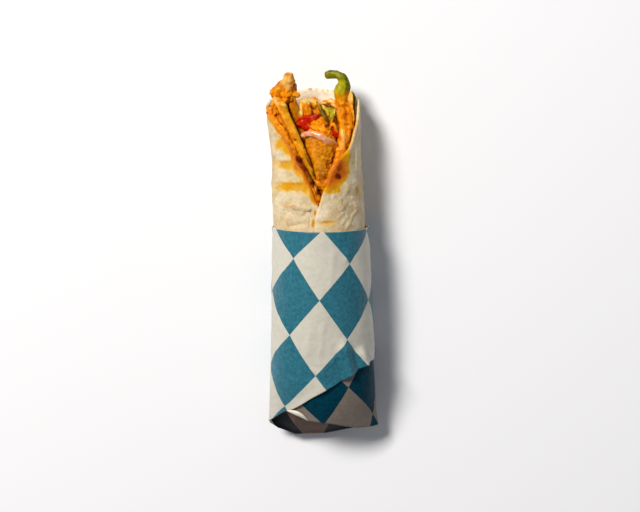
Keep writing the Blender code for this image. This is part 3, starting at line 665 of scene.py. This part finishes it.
def paper_layer(name, edge, start, inset, lift, seed, finishes, folds=()):
    """One paper layer: a sleeve from start down to its free edge, which stands off in waves."""
    columns = int(2 * math.pi * SLEEVE_RADIUS / PITCH) + 8
    angle = np.linspace(-180 - LAP, 180, columns)[None, :]
    end = curve(np.where(angle < -180, angle + 360, angle), edge)
    rows = int((start - end.min()) / PITCH) + 1
    share = np.linspace(0, 1, rows)[:, None]
    y = start + (end - start) * share
    angle = np.broadcast_to(angle, y.shape)
    around = girth(angle)
    free = np.clip(1 - (y - end) / LIFT_RUN, 0.0, 1.0) ** 2
    wave = 0.75 + 0.9 * ripple(np.stack([around, 0 * y, 0 * y], axis=-1), LIFT_WAVE, seed + 5)
    front = 0.5 + 0.5 * np.cos(np.radians(angle))
    off = crumple(around, y, seed) + pressed(around, y, folds, rising=True) + lift * free * front * wave
    off = np.maximum(off, DEEPEST_DENT)
    tuck = LAP_TUCK * ramp(-angle, 178.0, 186.0)
    lowest = inset - OUTER_INSET + tuck
    points = on_tube(PAPER_OUTLINE, y, angle, inset + tuck - off, lowest, fold_power(y))
    made = piece(name, points, grid_faces(*y.shape).tolist(), finishes)
    drawn = RIM_PULL * np.clip(1 - (RIM_Y - y) / RIM_PULL_RUN, 0.0, 1.0)
    across, down, run = RIM_SLIDE
    slid = ramp(around, 0.0, 20.0) * np.clip(1 - (RIM_Y - y) / run, 0.0, 1.0)
    side = np.where(around < SIDE_START, SIDE_START + (around - SIDE_START) * SIDE_SCALE, around)
    print_place = np.stack([side - across * slid, y + drawn + down * slid, 0 * y], axis=-1)
    note(made, "sheet", print_place.reshape(-1, 3))
    return thicken(made, PAPER_THICK)


def paper_foot(finishes):
    """The innermost layer, closed along the foot."""
    columns, rows = 190, 70
    angle = (-180 + 360 * np.arange(columns) / columns)[None, :]
    share = np.linspace(0, 1, rows)[:, None]
    across = CUP_START + (FOOT_Y - CUP_START) * share
    angle, across = np.broadcast_arrays(angle, across)
    around = girth(angle)
    calm = 1 - 0.8 * ramp(share, 0.9, 1.0)
    inset = FOOT_INSET - FOOT_CRUMPLE * (crumple(around, across, 31) * calm)
    points = on_tube(CUP_OUTLINE, across, angle, inset, FOOT_FLOOR, fold_power(across))
    end = straight(points[..., 0], FOOT_LINE)
    points[..., 1] = CUP_START + (end - CUP_START) * share
    crease, own = middle_of(PAPER_OUTLINE, points[..., 1]), middle_of(CUP_OUTLINE, across)
    points[..., 2] += (crease - own) * np.abs(np.sin(np.radians(angle))) ** CREASE_REACH
    faces = grid_faces(rows, columns, loop=True).tolist()
    last, half = (rows - 1) * columns, columns // 2
    for side in (0, half):
        for k in range(half // 2):
            ring = (side + k + 1, side + k, side + half - k, side + half - k - 1)
            faces.append([last + spot % columns for spot in ring])
    made = piece("paper_foot", points, faces, finishes)
    x, y = points[..., 0], points[..., 1]
    print_place = np.stack([x + FOOT_LEAN * y, FOOT_STRETCH * y, 0 * y], axis=-1)
    note(made, "sheet", print_place.reshape(-1, 3))
    return thicken(made, PAPER_THICK)


def paper_curl(finish):
    """Sliver of the under sheet's lower edge that curls over and shows its bare back."""
    share = np.linspace(0, 1, 40)[:, None]
    across = np.linspace(0, 1, 9)[None, :]
    x, y = (curve(share, CURL_LINE, column) for column in (1, 2))
    width = CURL_WIDTH * np.sin(math.pi * share) ** 0.7
    y = y + width * (across - 0.3)
    left, right = (curve(y, PAPER_OUTLINE, column) for column in (1, 2))
    side = (x - (left + right) / 2) / ((right - left) / 2)
    angle = np.degrees(np.arcsin(side))
    bulge, rise = 0.4 * width * np.sin(math.pi * across), 0.3 * across * width
    inset = UNDER_INSET - CURL_CLEAR - (bulge + rise)
    points = on_tube(PAPER_OUTLINE, y, angle, inset, 0.0, fold_power(y))
    made = piece("paper_curl", points, grid_faces(*y.shape).tolist(), [finish, finish])
    return thicken(made, PAPER_THICK)


def paper():
    """The three layers of the wrapper, and the curled edge of the middle one."""
    back = bare_paper("greaseproof_back", "#e9e4d8", "#d8d1c2")
    dim_back = bare_paper("greaseproof_back_shaded", "#cfc8bc", "#b9b0a2")
    outer = greaseproof(
        "printed_greaseproof", OUTER_PRINT, ("#bfbcb1", "#cdcabf"), ("#175468", "#347a8d"), 0.42, 0.28)
    # The under sheet's paper and ink are darker than the outer sheet's: painted shade.
    under_painted_shade = greaseproof(
        "printed_greaseproof_under_painted_shade", UNDER_PRINT, ("#7a7068", "#8c8178"), ("#022a3a", "#044458"), 0.4, 0.03)
    # The foot's paper and ink are darker still: painted shade under the lip.
    foot_painted_shade = greaseproof(
        "printed_greaseproof_foot_painted_shade", FOOT_PRINT, ("#604c43", "#715b51"), ("#060b14", "#0a121c"), 0.5, 0.03)
    paper_curl(back)
    sheets = [
        paper_layer(
            "paper_outer_sheet", OUTER_EDGE, RIM_Y, OUTER_INSET, OUTER_LIFT, 3, [outer, back], PAPER_FOLDS),
        paper_layer(
            "paper_under_sheet", UNDER_EDGE, UNDER_START, UNDER_INSET, UNDER_LIFT, 17, [under_painted_shade, back]),
        paper_foot([foot_painted_shade, dim_back]),
    ]
    for sheet in sheets:
        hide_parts("paper_wrapper")


# Flatbread

def roll_inset(angle):
    """How far a turn of the roll lies inside the outermost one."""
    return BREAD_TURN_STEP * (angle - ROLL_END) / 360


def bread_floor(y):
    """Lowest level of the bread at y."""
    return np.interp(y, [CUP_START, CUP_CLEAR_Y], [BREAD_FOOT_FLOOR, BREAD_TOP_FLOOR])


def blotch(x, y, marks, seed, rough=0.5):
    """Strength of soft, ragged marks at x, y."""
    spot = np.stack([x, y, 0 * x], axis=-1)
    ragged = rough * ripple(spot, 3.0, seed, 3)
    total = np.zeros_like(x)
    for mark_x, mark_y, half_long, half_wide, turn, strength in marks:
        c, s = math.cos(math.radians(turn)), math.sin(math.radians(turn))
        long = ((x - mark_x) * c + (y - mark_y) * s) / half_long
        wide = ((y - mark_y) * c - (x - mark_x) * s) / half_wide
        reach = np.sqrt(long**2 + wide**2) + ragged
        total = np.maximum(total, strength * (1 - ramp(reach, 0.3, 1.4)))
    return total


def flatbread():
    """One sheet rolled a little more than once round, blistered, stained and cut to a V at its rim."""
    angle = np.concatenate([np.arange(*turns) for turns in BREAD_TURNS] + [[ROLL_END]])[None, :]
    top = straight(-angle, [(-turn, y) for turn, y in BREAD_RIM])
    hidden = np.linspace(0, 1, HIDDEN_ROWS)[:-1, None]
    shown = np.linspace(0, 1, SHOWN_ROWS)[:, None]
    y = np.concatenate([
        BREAD_FOOT_Y + (BREAD_FINE_Y - BREAD_FOOT_Y) * hidden + 0 * top,
        BREAD_FINE_Y + (top - BREAD_FINE_Y) * shown,
    ])
    angle = np.broadcast_to(angle, y.shape)
    around = np.radians(angle) * BREAD_RADIUS
    spot = np.stack([around, y, 0 * y], axis=-1)
    bare = ramp(y, *BREAD_BARE)
    sag = (0.9 * ripple(spot * (1.0, 0.6, 1.0), 22.0, 41) + 0.35 * ripple(spot, 9.0, 42)) * bare
    front_round = np.radians((angle + 180) % 360 - 180) * BREAD_RADIUS
    wall = roll_inset(angle) + BREAD_MID - sag - pressed(front_round, y, BREAD_FOLDS)
    middle = on_tube(BREAD_OUTLINE, y, angle, wall, bread_floor(y) + BREAD_MID, fold_power(y))

    # Distance from the sheet's nearest edge, over which it is rounded
    slope = np.gradient(top[0], around[0])
    rim_gap = (top - y) / np.sqrt(1 + slope**2)[None, :]
    start_gap = np.radians(ROLL_START - angle) * BREAD_RADIUS
    end_gap = np.radians(angle - ROLL_END) * BREAD_RADIUS
    gap = np.minimum(np.minimum(rim_gap, start_gap), np.minimum(end_gap, y - BREAD_FOOT_Y))
    round_edge = np.sqrt(np.clip(1 - (1 - np.clip(gap / BREAD_ROUND, 0, 1)) ** 2, 0.03, 1.0))
    blister = np.clip(ripple(spot, BLISTER_SIZE, 43) - 0.12, 0.0, None)
    texture = 0.10 * ripple(spot, 2.2, 44, 2)
    above = (BREAD_THICK / 2 + (BLISTER_HEIGHT * blister + texture) * bare) * round_edge
    below = (BREAD_THICK / 2 + texture * bare) * round_edge

    # Its outside and inside, joined round the edge
    down, side = np.gradient(middle, axis=0), np.gradient(middle, axis=1)
    up = np.cross(down, side)
    up /= np.linalg.norm(up, axis=-1, keepdims=True)
    outer, inner = middle + up * above[..., None], middle - up * below[..., None]
    rows, columns = y.shape
    count = rows * columns
    quads = grid_faces(rows, columns)
    index = np.arange(count).reshape(rows, columns)
    border = np.concatenate([index[0, :], index[1:, -1], index[-1, -2::-1], index[-2:0:-1, 0]])
    after = np.roll(border, -1)
    edge = np.stack([border, after, after + count, border + count], axis=-1)
    faces = np.concatenate([quads, quads[:, ::-1] + count, edge])
    points = np.concatenate([outer.reshape(-1, 3), inner.reshape(-1, 3)])
    made = piece("flatbread_sheet", points, faces.tolist(), [baked_flatbread()], 80)
    mark_bread(made, angle, y, spot, gap, outer, inner)
    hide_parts("flatbread")


def mark_bread(made, angle, y, spot, gap, outer, inner):
    """Note where the bread is toasted, soaked with oil or sauce, burnt or pale, outside and inside, and where
    shade and light are painted on it.
    """
    x, z = outer[..., 0], outer[..., 2]
    front = ramp(z, 20.0, 28.0)
    ragged = ripple(spot, 3.5, 47, 3)
    grill_and_seam_shade = blotch(x, y, GRILL_LINES_AND_SEAM_SHADE, 48, 0.4) * front
    oil_and_seam_shade = blotch(x, y, OIL_SPOTS_AND_SEAM_SHADE, 49, 0.4) * front
    burnt = blotch(x, y, BURNT_SPOTS, 51, 0.4) * front

    # Sauce stain on the right flap, inside its line, lighter in places with painted light where the flap
    # turns from the lamp
    seen = np.stack([x, y], axis=-1).reshape(-1, 2)
    inside_line = 0.7 * ragged - side_of(seen, STAIN_LINE).reshape(x.shape)
    on_flap = ramp(-angle, 275.0, 285.0) * ramp(y, 41.5, 43.0)
    painted_light = blotch(x, y, PAINTED_LIGHT_SPOTS, 50)
    depth = 0.38 + 0.24 * ramp(inside_line, 1.0, 4.0) - 0.2 * painted_light
    sauce = ramp(inside_line, -0.6, 1.2) * depth * on_flap

    # Oil soaked in along both sides of the V; the thin band along the right side's edge is partly oil and
    # partly painted light on its lit rim
    above_seam = ramp(y, 34.0, 39.0)
    left_v = ramp(angle, -104.0, -90.0) * (1 - ramp(angle, 0.0, 3.0)) * above_seam
    right_v = ramp(-angle, 262.0, 275.0) * above_seam
    wide, close = 1 - ramp(gap + 1.2 * ragged, 0.6, 4.8), 1 - ramp(gap + 0.8 * ragged, 0.6, 3.4)
    soak_and_lit_rim = left_v * (0.44 * wide + 0.14 * close * (1 - ramp(y, 76.0, 86.0)))
    lit_rim_band = 1 - ramp(gap + 0.4 * ragged, 0.2, 1.1)
    soak_and_lit_rim = np.maximum(soak_and_lit_rim, right_v * lit_rim_band * (0.26 - 0.16 * ramp(y, 60.0, 80.0)))

    # Toasted rim at the back, freckles all over, and the inside, which is pale above the filling
    back_rim = ramp(-angle, 110.0, 130.0) * (1 - ramp(-angle, 262.0, 272.0))
    baked = 0.75 * np.clip(ripple(spot, 2.6, 52, 2) * 2.4 - 0.2, 0, 1) * (1 - ramp(gap, 0.6, 2.6)) * back_rim
    freckle = 0.35 * np.clip(ripple(spot, 4.5, 53, 3) * 2.0 - 0.75, 0, 1)
    deep = 1 - ramp(inner[..., 1] + 2.5 * ragged, 80.0, 88.0)

    stain_and_painted_light = np.maximum.reduce([soak_and_lit_rim, 0.34 * oil_and_seam_shade, sauce, 0.92 * burnt])
    toast_and_seam_shade = np.maximum.reduce([0.95 * grill_and_seam_shade, baked, freckle])
    for name, outside, inside in (
        ("stain_and_painted_light", stain_and_painted_light, np.maximum(0.55 * deep, soak_and_lit_rim)),
        ("toast_and_seam_shade", toast_and_seam_shade, np.maximum(baked, freckle)),
        ("pale", 0 * stain_and_painted_light, 0.8 * (1 - deep)),
    ):
        note(made, name, np.concatenate([outside.ravel(), inside.ravel()]))


# Fillings

# Relief of each kind of filling, as layers of (kind, height, size) in mm
SMOOTH_LUMPS = (("lump", 0.4, 6.0), ("lump", 0.15, 1.6))
SAUCY = (("lump", 1.0, 4.0), ("grain", 0.8, 2.7), ("lump", 0.3, 1.2))
POURED = (("lump", 0.9, 5.0), ("grain", 0.3, 3.2))
CRAGGY = (("lump", 1.2, 5.0), ("grain", 1.3, 3.2), ("lump", 0.5, 1.5))
CRUSTED = (("lump", 0.7, 6.0), ("grain", 0.45, 1.9), ("grain", 0.25, 1.1))
MASSED = (("lump", 1.6, 7.0), ("grain", 1.7, 4.6), ("lump", 0.35, 1.8))
FINE = 0.5      # mesh pitch of the fillings


def relief(points, layers, seed):
    """Height of lumps and grains over a surface, even about zero."""
    height = np.zeros(len(points))
    for k, (kind, tall, size) in enumerate(layers):
        if kind == "grain":
            height += tall * grains(points, size, seed + k)
        else:
            height += tall * ripple(points, size, seed + k, 2)
    return height - height.mean()


def shaped(made, layers, seed, pitch=FINE, soften=2, grow=0.0, calm=None):
    """Give a rough body one fine even skin with its relief, which calm can hold down in places."""
    even = made.modifiers.new("even", "REMESH")
    even.mode = "VOXEL"
    even.voxel_size = pitch * MM
    soft = made.modifiers.new("soft", "SMOOTH")
    soft.iterations = soften
    settle(made)
    points, out = places(made), outward(made)
    height = relief(points, layers, seed)
    if calm:
        height = height * calm(points)
    points = points + out * (height + grow)[:, None]
    move_to(made, points)
    made.data.shade_smooth()
    return points


def worked(node, finish, slot, layers, seed, **shaping):
    """A filling: its solid, brought to its real surface."""
    made = bpy.data.objects.new(node + "_dressed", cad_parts[node].data.copy())
    made.data.materials.clear()
    made.data.materials.append(finish)
    enter(made)
    points = shaped(made, layers, seed, **shaping)
    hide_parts(node)
    return made, points


def melted(name, routes, finish, slot, layers, seed, pitch=0.4, **shaping):
    """Soft body melted together along routes of (x, y, z, radius)."""
    bm = bmesh.new()
    for route in routes:
        rows = [(k,) + tuple(spot) for k, spot in enumerate(route)]
        length = sum(math.dist(one[:3], other[:3]) for one, other in zip(route, route[1:]))
        count = max(2, int(length / (0.5 * min(spot[3] for spot in route))))
        for share in np.linspace(0, len(route) - 1, count):
            x, y, z, radius = (float(curve(share, rows, column)) for column in (1, 2, 3, 4))
            spot = Matrix.Translation((np.array((x, y, z)) - MIDDLE) * MM)
            bmesh.ops.create_icosphere(bm, subdivisions=2, radius=radius * MM, matrix=spot)
    mesh = bpy.data.meshes.new(name)
    bm.to_mesh(mesh)
    bm.free()
    mesh.materials.append(finish)
    made = enter(bpy.data.objects.new(name, mesh))
    return made, shaped(made, layers, seed, pitch, **shaping)


def filmed(made, points, base, spread, seed, size=4.0):
    """Note how much sauce films a filling, about a base share, where its oil and painted shade lie, and where
    its cream and painted highlights do.
    """
    share = base + spread * 1.6 * ripple(points, size, seed, 3)
    note(made, "film", np.clip(share, 0.0, 1.0))
    x, y = points[:, 0], points[:, 1]
    note(made, "chilli_and_painted_shade", blotch(x, y, CHILLI_AND_SHADE_SPOTS, seed, 0.35))
    note(made, "cream_and_painted_light", blotch(x, y, CREAM_AND_LIGHT_SPOTS, seed + 1, 0.35))


def scatter(name, on, count, sizes, length, seed, keep, finish, film):
    """Crumbs half sunk in a piece, as one mesh: each is a small dented flake that lies on the surface."""
    rng = random.Random(seed)
    mesh = on.data
    faces = [face for face in mesh.polygons if keep(np.array(face.center) / MM + MIDDLE, face.normal)]
    bm = bmesh.new()
    for k in range(count):
        face = rng.choice(faces)
        size = rng.uniform(*sizes)
        grown = bmesh.ops.create_icosphere(bm, subdivisions=2, radius=1.0)["verts"]
        turned = Matrix.Rotation(rng.uniform(0, 6.28), 3, "Z")
        lying = face.normal.to_track_quat("Z", "Y").to_matrix() @ turned
        stretch = Vector((rng.uniform(0.8, 1.2) * length, rng.uniform(0.7, 1.1), rng.uniform(0.5, 0.8)))
        for vertex in grown:
            dent = 1 + 0.35 * noise.noise(vertex.co * 1.3 + Vector((k * 1.7, seed, 0)))
            vertex.co = face.center + lying @ (vertex.co * dent * size / 2 * MM * stretch)
    made_mesh = bpy.data.meshes.new(name)
    bm.to_mesh(made_mesh)
    bm.free()
    made_mesh.materials.append(finish)
    made_mesh.shade_smooth()
    made = enter(bpy.data.objects.new(name, made_mesh))
    points = places(made)
    note(made, "film", np.clip(film(points) + 0.5 * ripple(points, 3.0, seed), 0, 1))
    return made


# Middle lines of two pieces, seen from the front: x, y
HOOK_LINE = (
    (2.6, 110.0), (5.0, 110.5), (7.6, 110.6), (10.0, 110.0), (12.0, 108.4), (12.7, 106.2), (12.6, 103.8),
    (11.9, 101.2), (11.4, 98.2), (11.4, 95.2), (11.8, 90.0),
)
FRY_LINE = (
    (-24.0, 94.0), (-20.4, 84.6), (-16.4, 76.2), (-12.6, 68.0),
    (-9.2, 59.8), (-6.0, 52.0), (-3.8, 45.0), (-2.6, 34.0),
)

# Small things between the larger pieces, as routes of (x, y, z, radius)
STRIP_CLUMPS = (
    ((-29.2, 102.0, 30.0, 0.7), (-28.9, 100.5, 30.2, 1.3), (-28.0, 98.8, 30.5, 1.9),
     (-26.6, 97.6, 31.0, 2.0)),
    ((-17.8, 102.6, 30.4, 1.6), (-16.4, 101.2, 30.5, 1.7), (-15.4, 99.8, 30.5, 1.5),
     (-14.5, 98.9, 30.5, 0.9)),
    ((-18.6, 98.8, 31.0, 2.0), (-16.2, 98.2, 31.0, 1.4)),
    ((-16.8, 104.8, 30.6, 1.4), (-15.6, 103.8, 30.5, 1.0)),
    ((-22.0, 107.2, 29.6, 1.9), (-22.9, 105.8, 29.6, 1.9), (-24.0, 104.2, 29.8, 1.8)),
    ((-24.0, 96.0, 33.0, 1.6), (-21.4, 95.8, 34.0, 1.7), (-18.8, 96.2, 33.0, 1.6)),
    ((-28.4, 95.4, 32.0, 1.2), (-28.0, 92.0, 34.0, 1.4), (-27.2, 88.5, 35.5, 1.5)),
)
SAUCE_SWIRLS = (
    ((-5.5, 82.6, 37.4, 1.0), (-2.6, 82.4, 38.4, 1.2), (-0.6, 81.2, 39.0, 1.3), (2.6, 79.6, 39.2, 1.3),
     (4.6, 80.2, 38.8, 1.2), (5.6, 81.8, 37.8, 0.9)),
    ((6.8, 82.0, 37.4, 0.9), (8.0, 80.0, 37.8, 1.1), (8.6, 77.6, 38.0, 1.1)),
    ((-6.0, 79.9, 38.0, 1.3), (-2.6, 79.4, 39.2, 1.6), (1.0, 78.2, 40.0, 1.4), (4.0, 76.6, 40.2, 1.1)),
    ((0.8, 93.8, 20.0, 1.7), (3.4, 94.0, 20.5, 1.9), (6.0, 94.2, 21.0, 2.0), (8.4, 91.6, 23.0, 1.9)),
    ((10.2, 96.0, 23.0, 1.6), (11.0, 93.6, 26.0, 2.2), (13.0, 91.6, 28.6, 2.0)),
)
POTATO_BITS = (
    ((-12.4, 89.8, 31.0, 0.9), (-12.1, 87.8, 32.0, 1.2), (-12.1, 85.6, 32.6, 0.9)),
    ((12.0, 80.8, 36.6, 0.7), (11.5, 78.8, 37.4, 0.9), (10.8, 76.6, 37.6, 0.7)),
    ((-27.6, 96.6, 31.0, 1.4), (-26.8, 94.6, 32.6, 1.8), (-26.0, 92.0, 34.0, 1.5)),
)
PEPPER_SHRED = (
    ((-3.0, 94.4, 25.0, 0.7), (-1.5, 91.5, 26.0, 1.1), (0.3, 88.0, 27.0, 1.2), (2.1, 84.1, 28.6, 1.1),
     (3.0, 81.5, 30.0, 0.8)),
)
SAUCE_POOL = (
    ((-5.4, 50.6, 45.4, 0.9), (-3.2, 48.6, 45.6, 1.5), (-0.8, 47.4, 45.8, 2.1), (1.6, 47.7, 46.0, 2.0),
     (3.4, 50.0, 46.2, 1.3)),
    ((-0.6, 47.4, 45.8, 2.0), (0.8, 44.6, 45.8, 1.3)),
    ((15.4, 91.0, 30.0, 1.2), (16.2, 87.4, 32.0, 1.7), (16.2, 83.0, 34.0, 1.9), (15.8, 78.6, 36.0, 1.9),
     (15.0, 74.2, 38.0, 1.7), (14.2, 71.0, 39.4, 1.2)),
    ((-4.4, 46.4, 48.6, 1.2), (-3.0, 42.4, 49.4, 1.6), (-1.9, 38.8, 49.8, 1.2)),
)
CHUNK_SIDE = (
    ((-10.8, 95.2, 27.0, 1.4), (-11.7, 92.6, 29.0, 2.0), (-11.8, 89.8, 30.0, 2.4), (-10.6, 86.8, 30.4, 2.2)),
    ((-8.8, 95.4, 25.6, 1.6), (-9.4, 92.6, 27.4, 2.4), (-9.2, 89.4, 28.6, 2.6), (-8.4, 86.0, 29.2, 2.4)),
)
LEAF_FOLD = (
    ((0.4, 92.2, 30.6, 0.7), (1.4, 91.0, 31.4, 1.1), (3.0, 89.6, 32.2, 1.2), (3.8, 87.4, 32.8, 1.0)),
)
TOMATO_FLESH = (
    ((-12.2, 80.9, 35.0, 1.1), (-9.0, 80.2, 35.6, 1.9), (-6.6, 81.6, 35.4, 1.3)),
)


def fillings():
    """Every piece of the filling, from the mass behind to the pieces that stand out."""
    sauce = food("chilli_sauce", ((0.3, "#b86204"), (0.6, "#e4960c"), (0.8, "#f2b838")),
                 4.0, 1.2, 0.5, 0.35, 0.15, 0.1)
    crust = food("fried_crumb", ((0.28, "#8f4a04"), (0.45, "#c4760a"), (0.6, "#dc961c"), (0.78, "#efb646")),
                 4.5, 0.9, 0.6, 0.5, 0.06, 0.0)
    potato = food("fried_potato", ((0.3, "#ab7d0a"), (0.5, "#d69210"), (0.7, "#edb636")),
                  5.0, 1.1, 0.25, 0.42, 0.05, 0.1)
    tomato = food("ripe_tomato", ((0.3, "#8c0800"), (0.5, "#bc1401"), (0.75, "#d42c08")),
                  3.0, 1.0, 0.3, 0.28, 0.25, 0.1)
    onion = food("red_onion", ((0.3, "#dc9068"), (0.5, "#ebaa84"), (0.7, "#f6cbb2")),
                 2.4, 0.8, 0.5, 0.2, 0.8, 0.3)
    leaf = food("iceberg_leaf", ((0.3, "#98960f"), (0.5, "#b9b422"), (0.75, "#dad468")),
                2.4, 1.2, 0.3, 0.4, 0.15, 0.2)
    pepper = green_pepper()

    # Pieces covered in sauce: node, relief, seed, shaping, film, spread
    for node, layers, seed, shaping, film, spread in (
        ("filling_core", MASSED, 2, {"pitch": 0.7}, 0.95, 0.3),
        ("sauced_strip", SAUCY, 5, {"grow": 0.3}, 0.95, 0.3),
        ("sauced_chunk", SAUCY, 8, {}, 0.8, 0.5),
        ("saucy_side", POURED, 11, {"grow": 0.5}, 0.95, 0.3),
        ("sauce_sliver", SMOOTH_LUMPS, 14, {"pitch": 0.35, "soften": 1}, 0.3, 0.4),
    ):
        made, points = worked(node, sauce, "sauce", layers, seed, **shaping)
        filmed(made, points, film, spread, seed + 1)

    # Cut vegetables and fries, each with the places where sauce reaches it
    for node, finish, slot, seed, shaping, film, spread in (
        ("fry_front", potato, "fry", 17, {}, film_on_fry, 0.35),
        ("fry_back", potato, "fry", 20, {}, lambda at: 0.55, 0.5),
        ("tomato_wedge", tomato, "tomato", 23, {"pitch": 0.4, "grow": 0.5}, lambda at: -0.15, 0.4),
        ("tomato_bit", tomato, "tomato", 26, {"pitch": 0.4, "grow": 0.3}, lambda at: -0.15, 0.4),
        ("onion_slice", onion, "onion", 29, {"pitch": 0.4}, lambda at: 0.65 * ramp(at[:, 0], -1.0, 6.0), 0.4),
        ("lettuce_leaf", leaf, "lettuce", 32, {"pitch": 0.35},
         lambda at: 0.9 * (1 - ramp(at[:, 1], 83.0, 88.0)), 0.4),
    ):
        made, points = worked(node, finish, slot, SMOOTH_LUMPS, seed, soften=1, **shaping)
        filmed(made, points, film(points), spread, seed + 1)

    made, points = worked("pepper_hook", pepper, "pepper", SMOOTH_LUMPS, 35, pitch=0.4, soften=1, grow=0.4)
    rind = ramp(side_of(points, HOOK_LINE), 0.6, 1.8)
    tip, arm = 0.8 * (1 - ramp(points[:, 0], 2.0, 3.4)), 0.6 * ramp(points[:, 1], 106.0, 109.0)
    note(made, "skin", np.maximum.reduce([rind, tip, arm]))
    filmed(made, points, 1 - ramp(points[:, 1], 96.0, 102.5), 0.2, 36)
    made, points = worked("pepper_strip", pepper, "pepper", SMOOTH_LUMPS, 38, pitch=0.4, soften=1)
    note(made, "skin", np.ones(len(points)))
    filmed(made, points, 0.8 * (1 - ramp(points[:, 1], 84.0, 92.0)), 0.2, 39)

    made, points = worked("chicken_strip", crust, "fried_chicken", CRAGGY, 41,
                          calm=lambda at: 1 - 0.4 * ramp(at[:, 1], 101.0, 104.5))
    sauced = 1 - ramp(points[:, 1] + 1.5 * ripple(points, 4.0, 61), 100.0, 103.5)
    filmed(made, points, 0.95 * sauced, 0.3, 42)
    scatter("strip_crumbs", made, 40, (1.2, 2.6), 1.1, 5,
            lambda at, out: 94 < at[1] < 102.5 and at[2] > 24, crust, lambda at: 0.9)
    made, points = melted("strip_clumps", STRIP_CLUMPS, crust, "fried_chicken", CRAGGY, 44)
    filmed(made, points, 0.9 * (1 - ramp(points[:, 1], 101.5, 104.5)), 0.4, 45)

    made, points = worked("chicken_piece", crust, "fried_chicken", CRUSTED, 47)
    x, y = points[:, 0], points[:, 1]
    ends = np.maximum(1 - ramp(y, 44.0, 56.0), ramp(y, 72.0, 76.0))
    filmed(made, points, np.maximum(0.1 + 0.4 * ramp(x - 0.4 * (y - 50.0), -4.0, 4.0), 0.9 * ends), 0.4, 48)
    scatter("piece_crumbs", made, 36, (0.7, 1.2), 2.4, 8,
            lambda at, out: out[2] > 0.3 and at[0] > -2 and at[1] < 66, crust,
            lambda at: 0.1 + 0.3 * (1 - ramp(at[:, 1], 48.0, 60.0)))

    # Small soft things that fill the gaps: name, routes, finish, slot, relief, seed, shaping, film, spread
    for name, routes, finish, slot, layers, seed, shaping, film, spread in (
        ("rim_sauce", [left_rim()], sauce, "sauce", SAUCY, 51, {"calm": calm_rim}, 1.0, 0.1),
        ("sauce_swirls", SAUCE_SWIRLS, sauce, "sauce", SAUCY, 54, {"soften": 1}, 1.0, 0.0),
        ("sauce_pool", SAUCE_POOL, sauce, "sauce", SMOOTH_LUMPS, 63, {}, 1.0, 0.0),
        ("chunk_side", CHUNK_SIDE, sauce, "sauce", SAUCY, 66, {}, 0.8, 0.4),
        ("leaf_fold", LEAF_FOLD, leaf, "lettuce", SMOOTH_LUMPS, 72, {"pitch": 0.35, "soften": 1}, 0.0, 0.3),
        ("tomato_flesh", TOMATO_FLESH, tomato, "tomato", SMOOTH_LUMPS, 69, {}, 0.05, 0.4),
        ("potato_bits", POTATO_BITS, potato, "fry", SMOOTH_LUMPS, 57, {"pitch": 0.35, "soften": 1}, 0.1, 0.4),
    ):
        made, points = melted(name, routes, finish, slot, layers, seed, **shaping)
        filmed(made, points, film, spread, seed + 1)
    made, points = melted(
        "pepper_shred", PEPPER_SHRED, pepper, "pepper", SMOOTH_LUMPS, 60, pitch=0.3, soften=1)
    note(made, "skin", np.ones(len(points)))
    filmed(made, points, 0.2, 0.4, 61)


def film_on_fry(at):
    """Sauce runs down the left side of the front fry and covers its foot."""
    down_left = 1 - ramp(side_of(at, FRY_LINE), -1.4, 0.4)
    return np.maximum(down_left * (1 - 0.4 * ramp(at[:, 1], 74.0, 90.0)), 1 - ramp(at[:, 1], 47.0, 53.0))


def calm_rim(at):
    """The sauce on the rim is smooth low in the V and lumpy at the top."""
    return 0.25 + 0.6 * ramp(at[:, 1], 62.0, 84.0)


def left_rim():
    """Route of the sauce that laps over the bread along the left side of the V."""
    route = []
    for k, angle in enumerate(np.linspace(0.0, -84.0, 37)):
        top = float(straight(-angle, [(-turn, y) for turn, y in BREAD_RIM]))
        x, y, z = on_tube(BREAD_OUTLINE, top - 0.2, angle, float(roll_inset(angle)) + 2.1, BREAD_TOP_FLOOR)
        swell = 0.35 * noise.noise(Vector((k * 0.63, 4.1, 0)))
        route.append((x, y, z, 1.95 + swell))
    return route


# Studio

def floor():
    """Pale board that the wrap lies on."""
    half = 3.0
    mesh = bpy.data.meshes.new("floor")
    corners = [(-half, -half, 0), (half, -half, 0), (half, half, 0), (-half, half, 0)]
    mesh.from_pydata(corners, [], [(0, 1, 2, 3)])
    mesh.materials.append(matt_floor())
    made = bpy.data.objects.new("floor", mesh)
    made.location.z = -0.0002
    bpy.context.scene.collection.objects.link(made)


def lamp(name, place, size, power, colour):
    """Square soft light that points at the wrap."""
    light = bpy.data.lights.new(name, "AREA")
    light.size = size
    light.energy = power
    light.color = linear(colour)[:3]
    made = bpy.data.objects.new(name, light)
    made.location = place
    made.rotation_euler = (Vector((0, 0, 0.03)) - Vector(place)).to_track_quat("-Z", "Y").to_euler()
    bpy.context.scene.collection.objects.link(made)


def studio():
    """Camera, lights and the plain surroundings."""
    scene = bpy.context.scene
    lean = math.radians(CAMERA_LEAN)
    lens = bpy.data.cameras.new("camera")
    lens.lens = CAMERA_LENS
    lens.sensor_width = 36.0
    camera = bpy.data.objects.new("camera", lens)
    away = Vector((0, math.sin(lean), math.cos(lean))) * CAMERA_DISTANCE
    camera.location = (Vector(CAMERA_AIM) + away) * MM
    camera.rotation_euler = (-lean, 0, 0)
    scene.collection.objects.link(camera)
    scene.camera = camera
    lamp("key", (-0.98, 1.2, 1.85), 0.6, 68.0, "#fffaf2")
    lamp("fill", (0.9, -0.5, 1.1), 1.2, 0.6, "#f2f5ff")
    world = bpy.data.worlds.new("surroundings")
    world.use_nodes = True
    feed(world.node_tree.nodes["Background"], {"Color": linear("#f4f5f7"), "Strength": 0.2})
    scene.world = world
    scene.view_settings.view_transform = "Standard"


floor()
studio()
paper()
flatbread()
fillings()
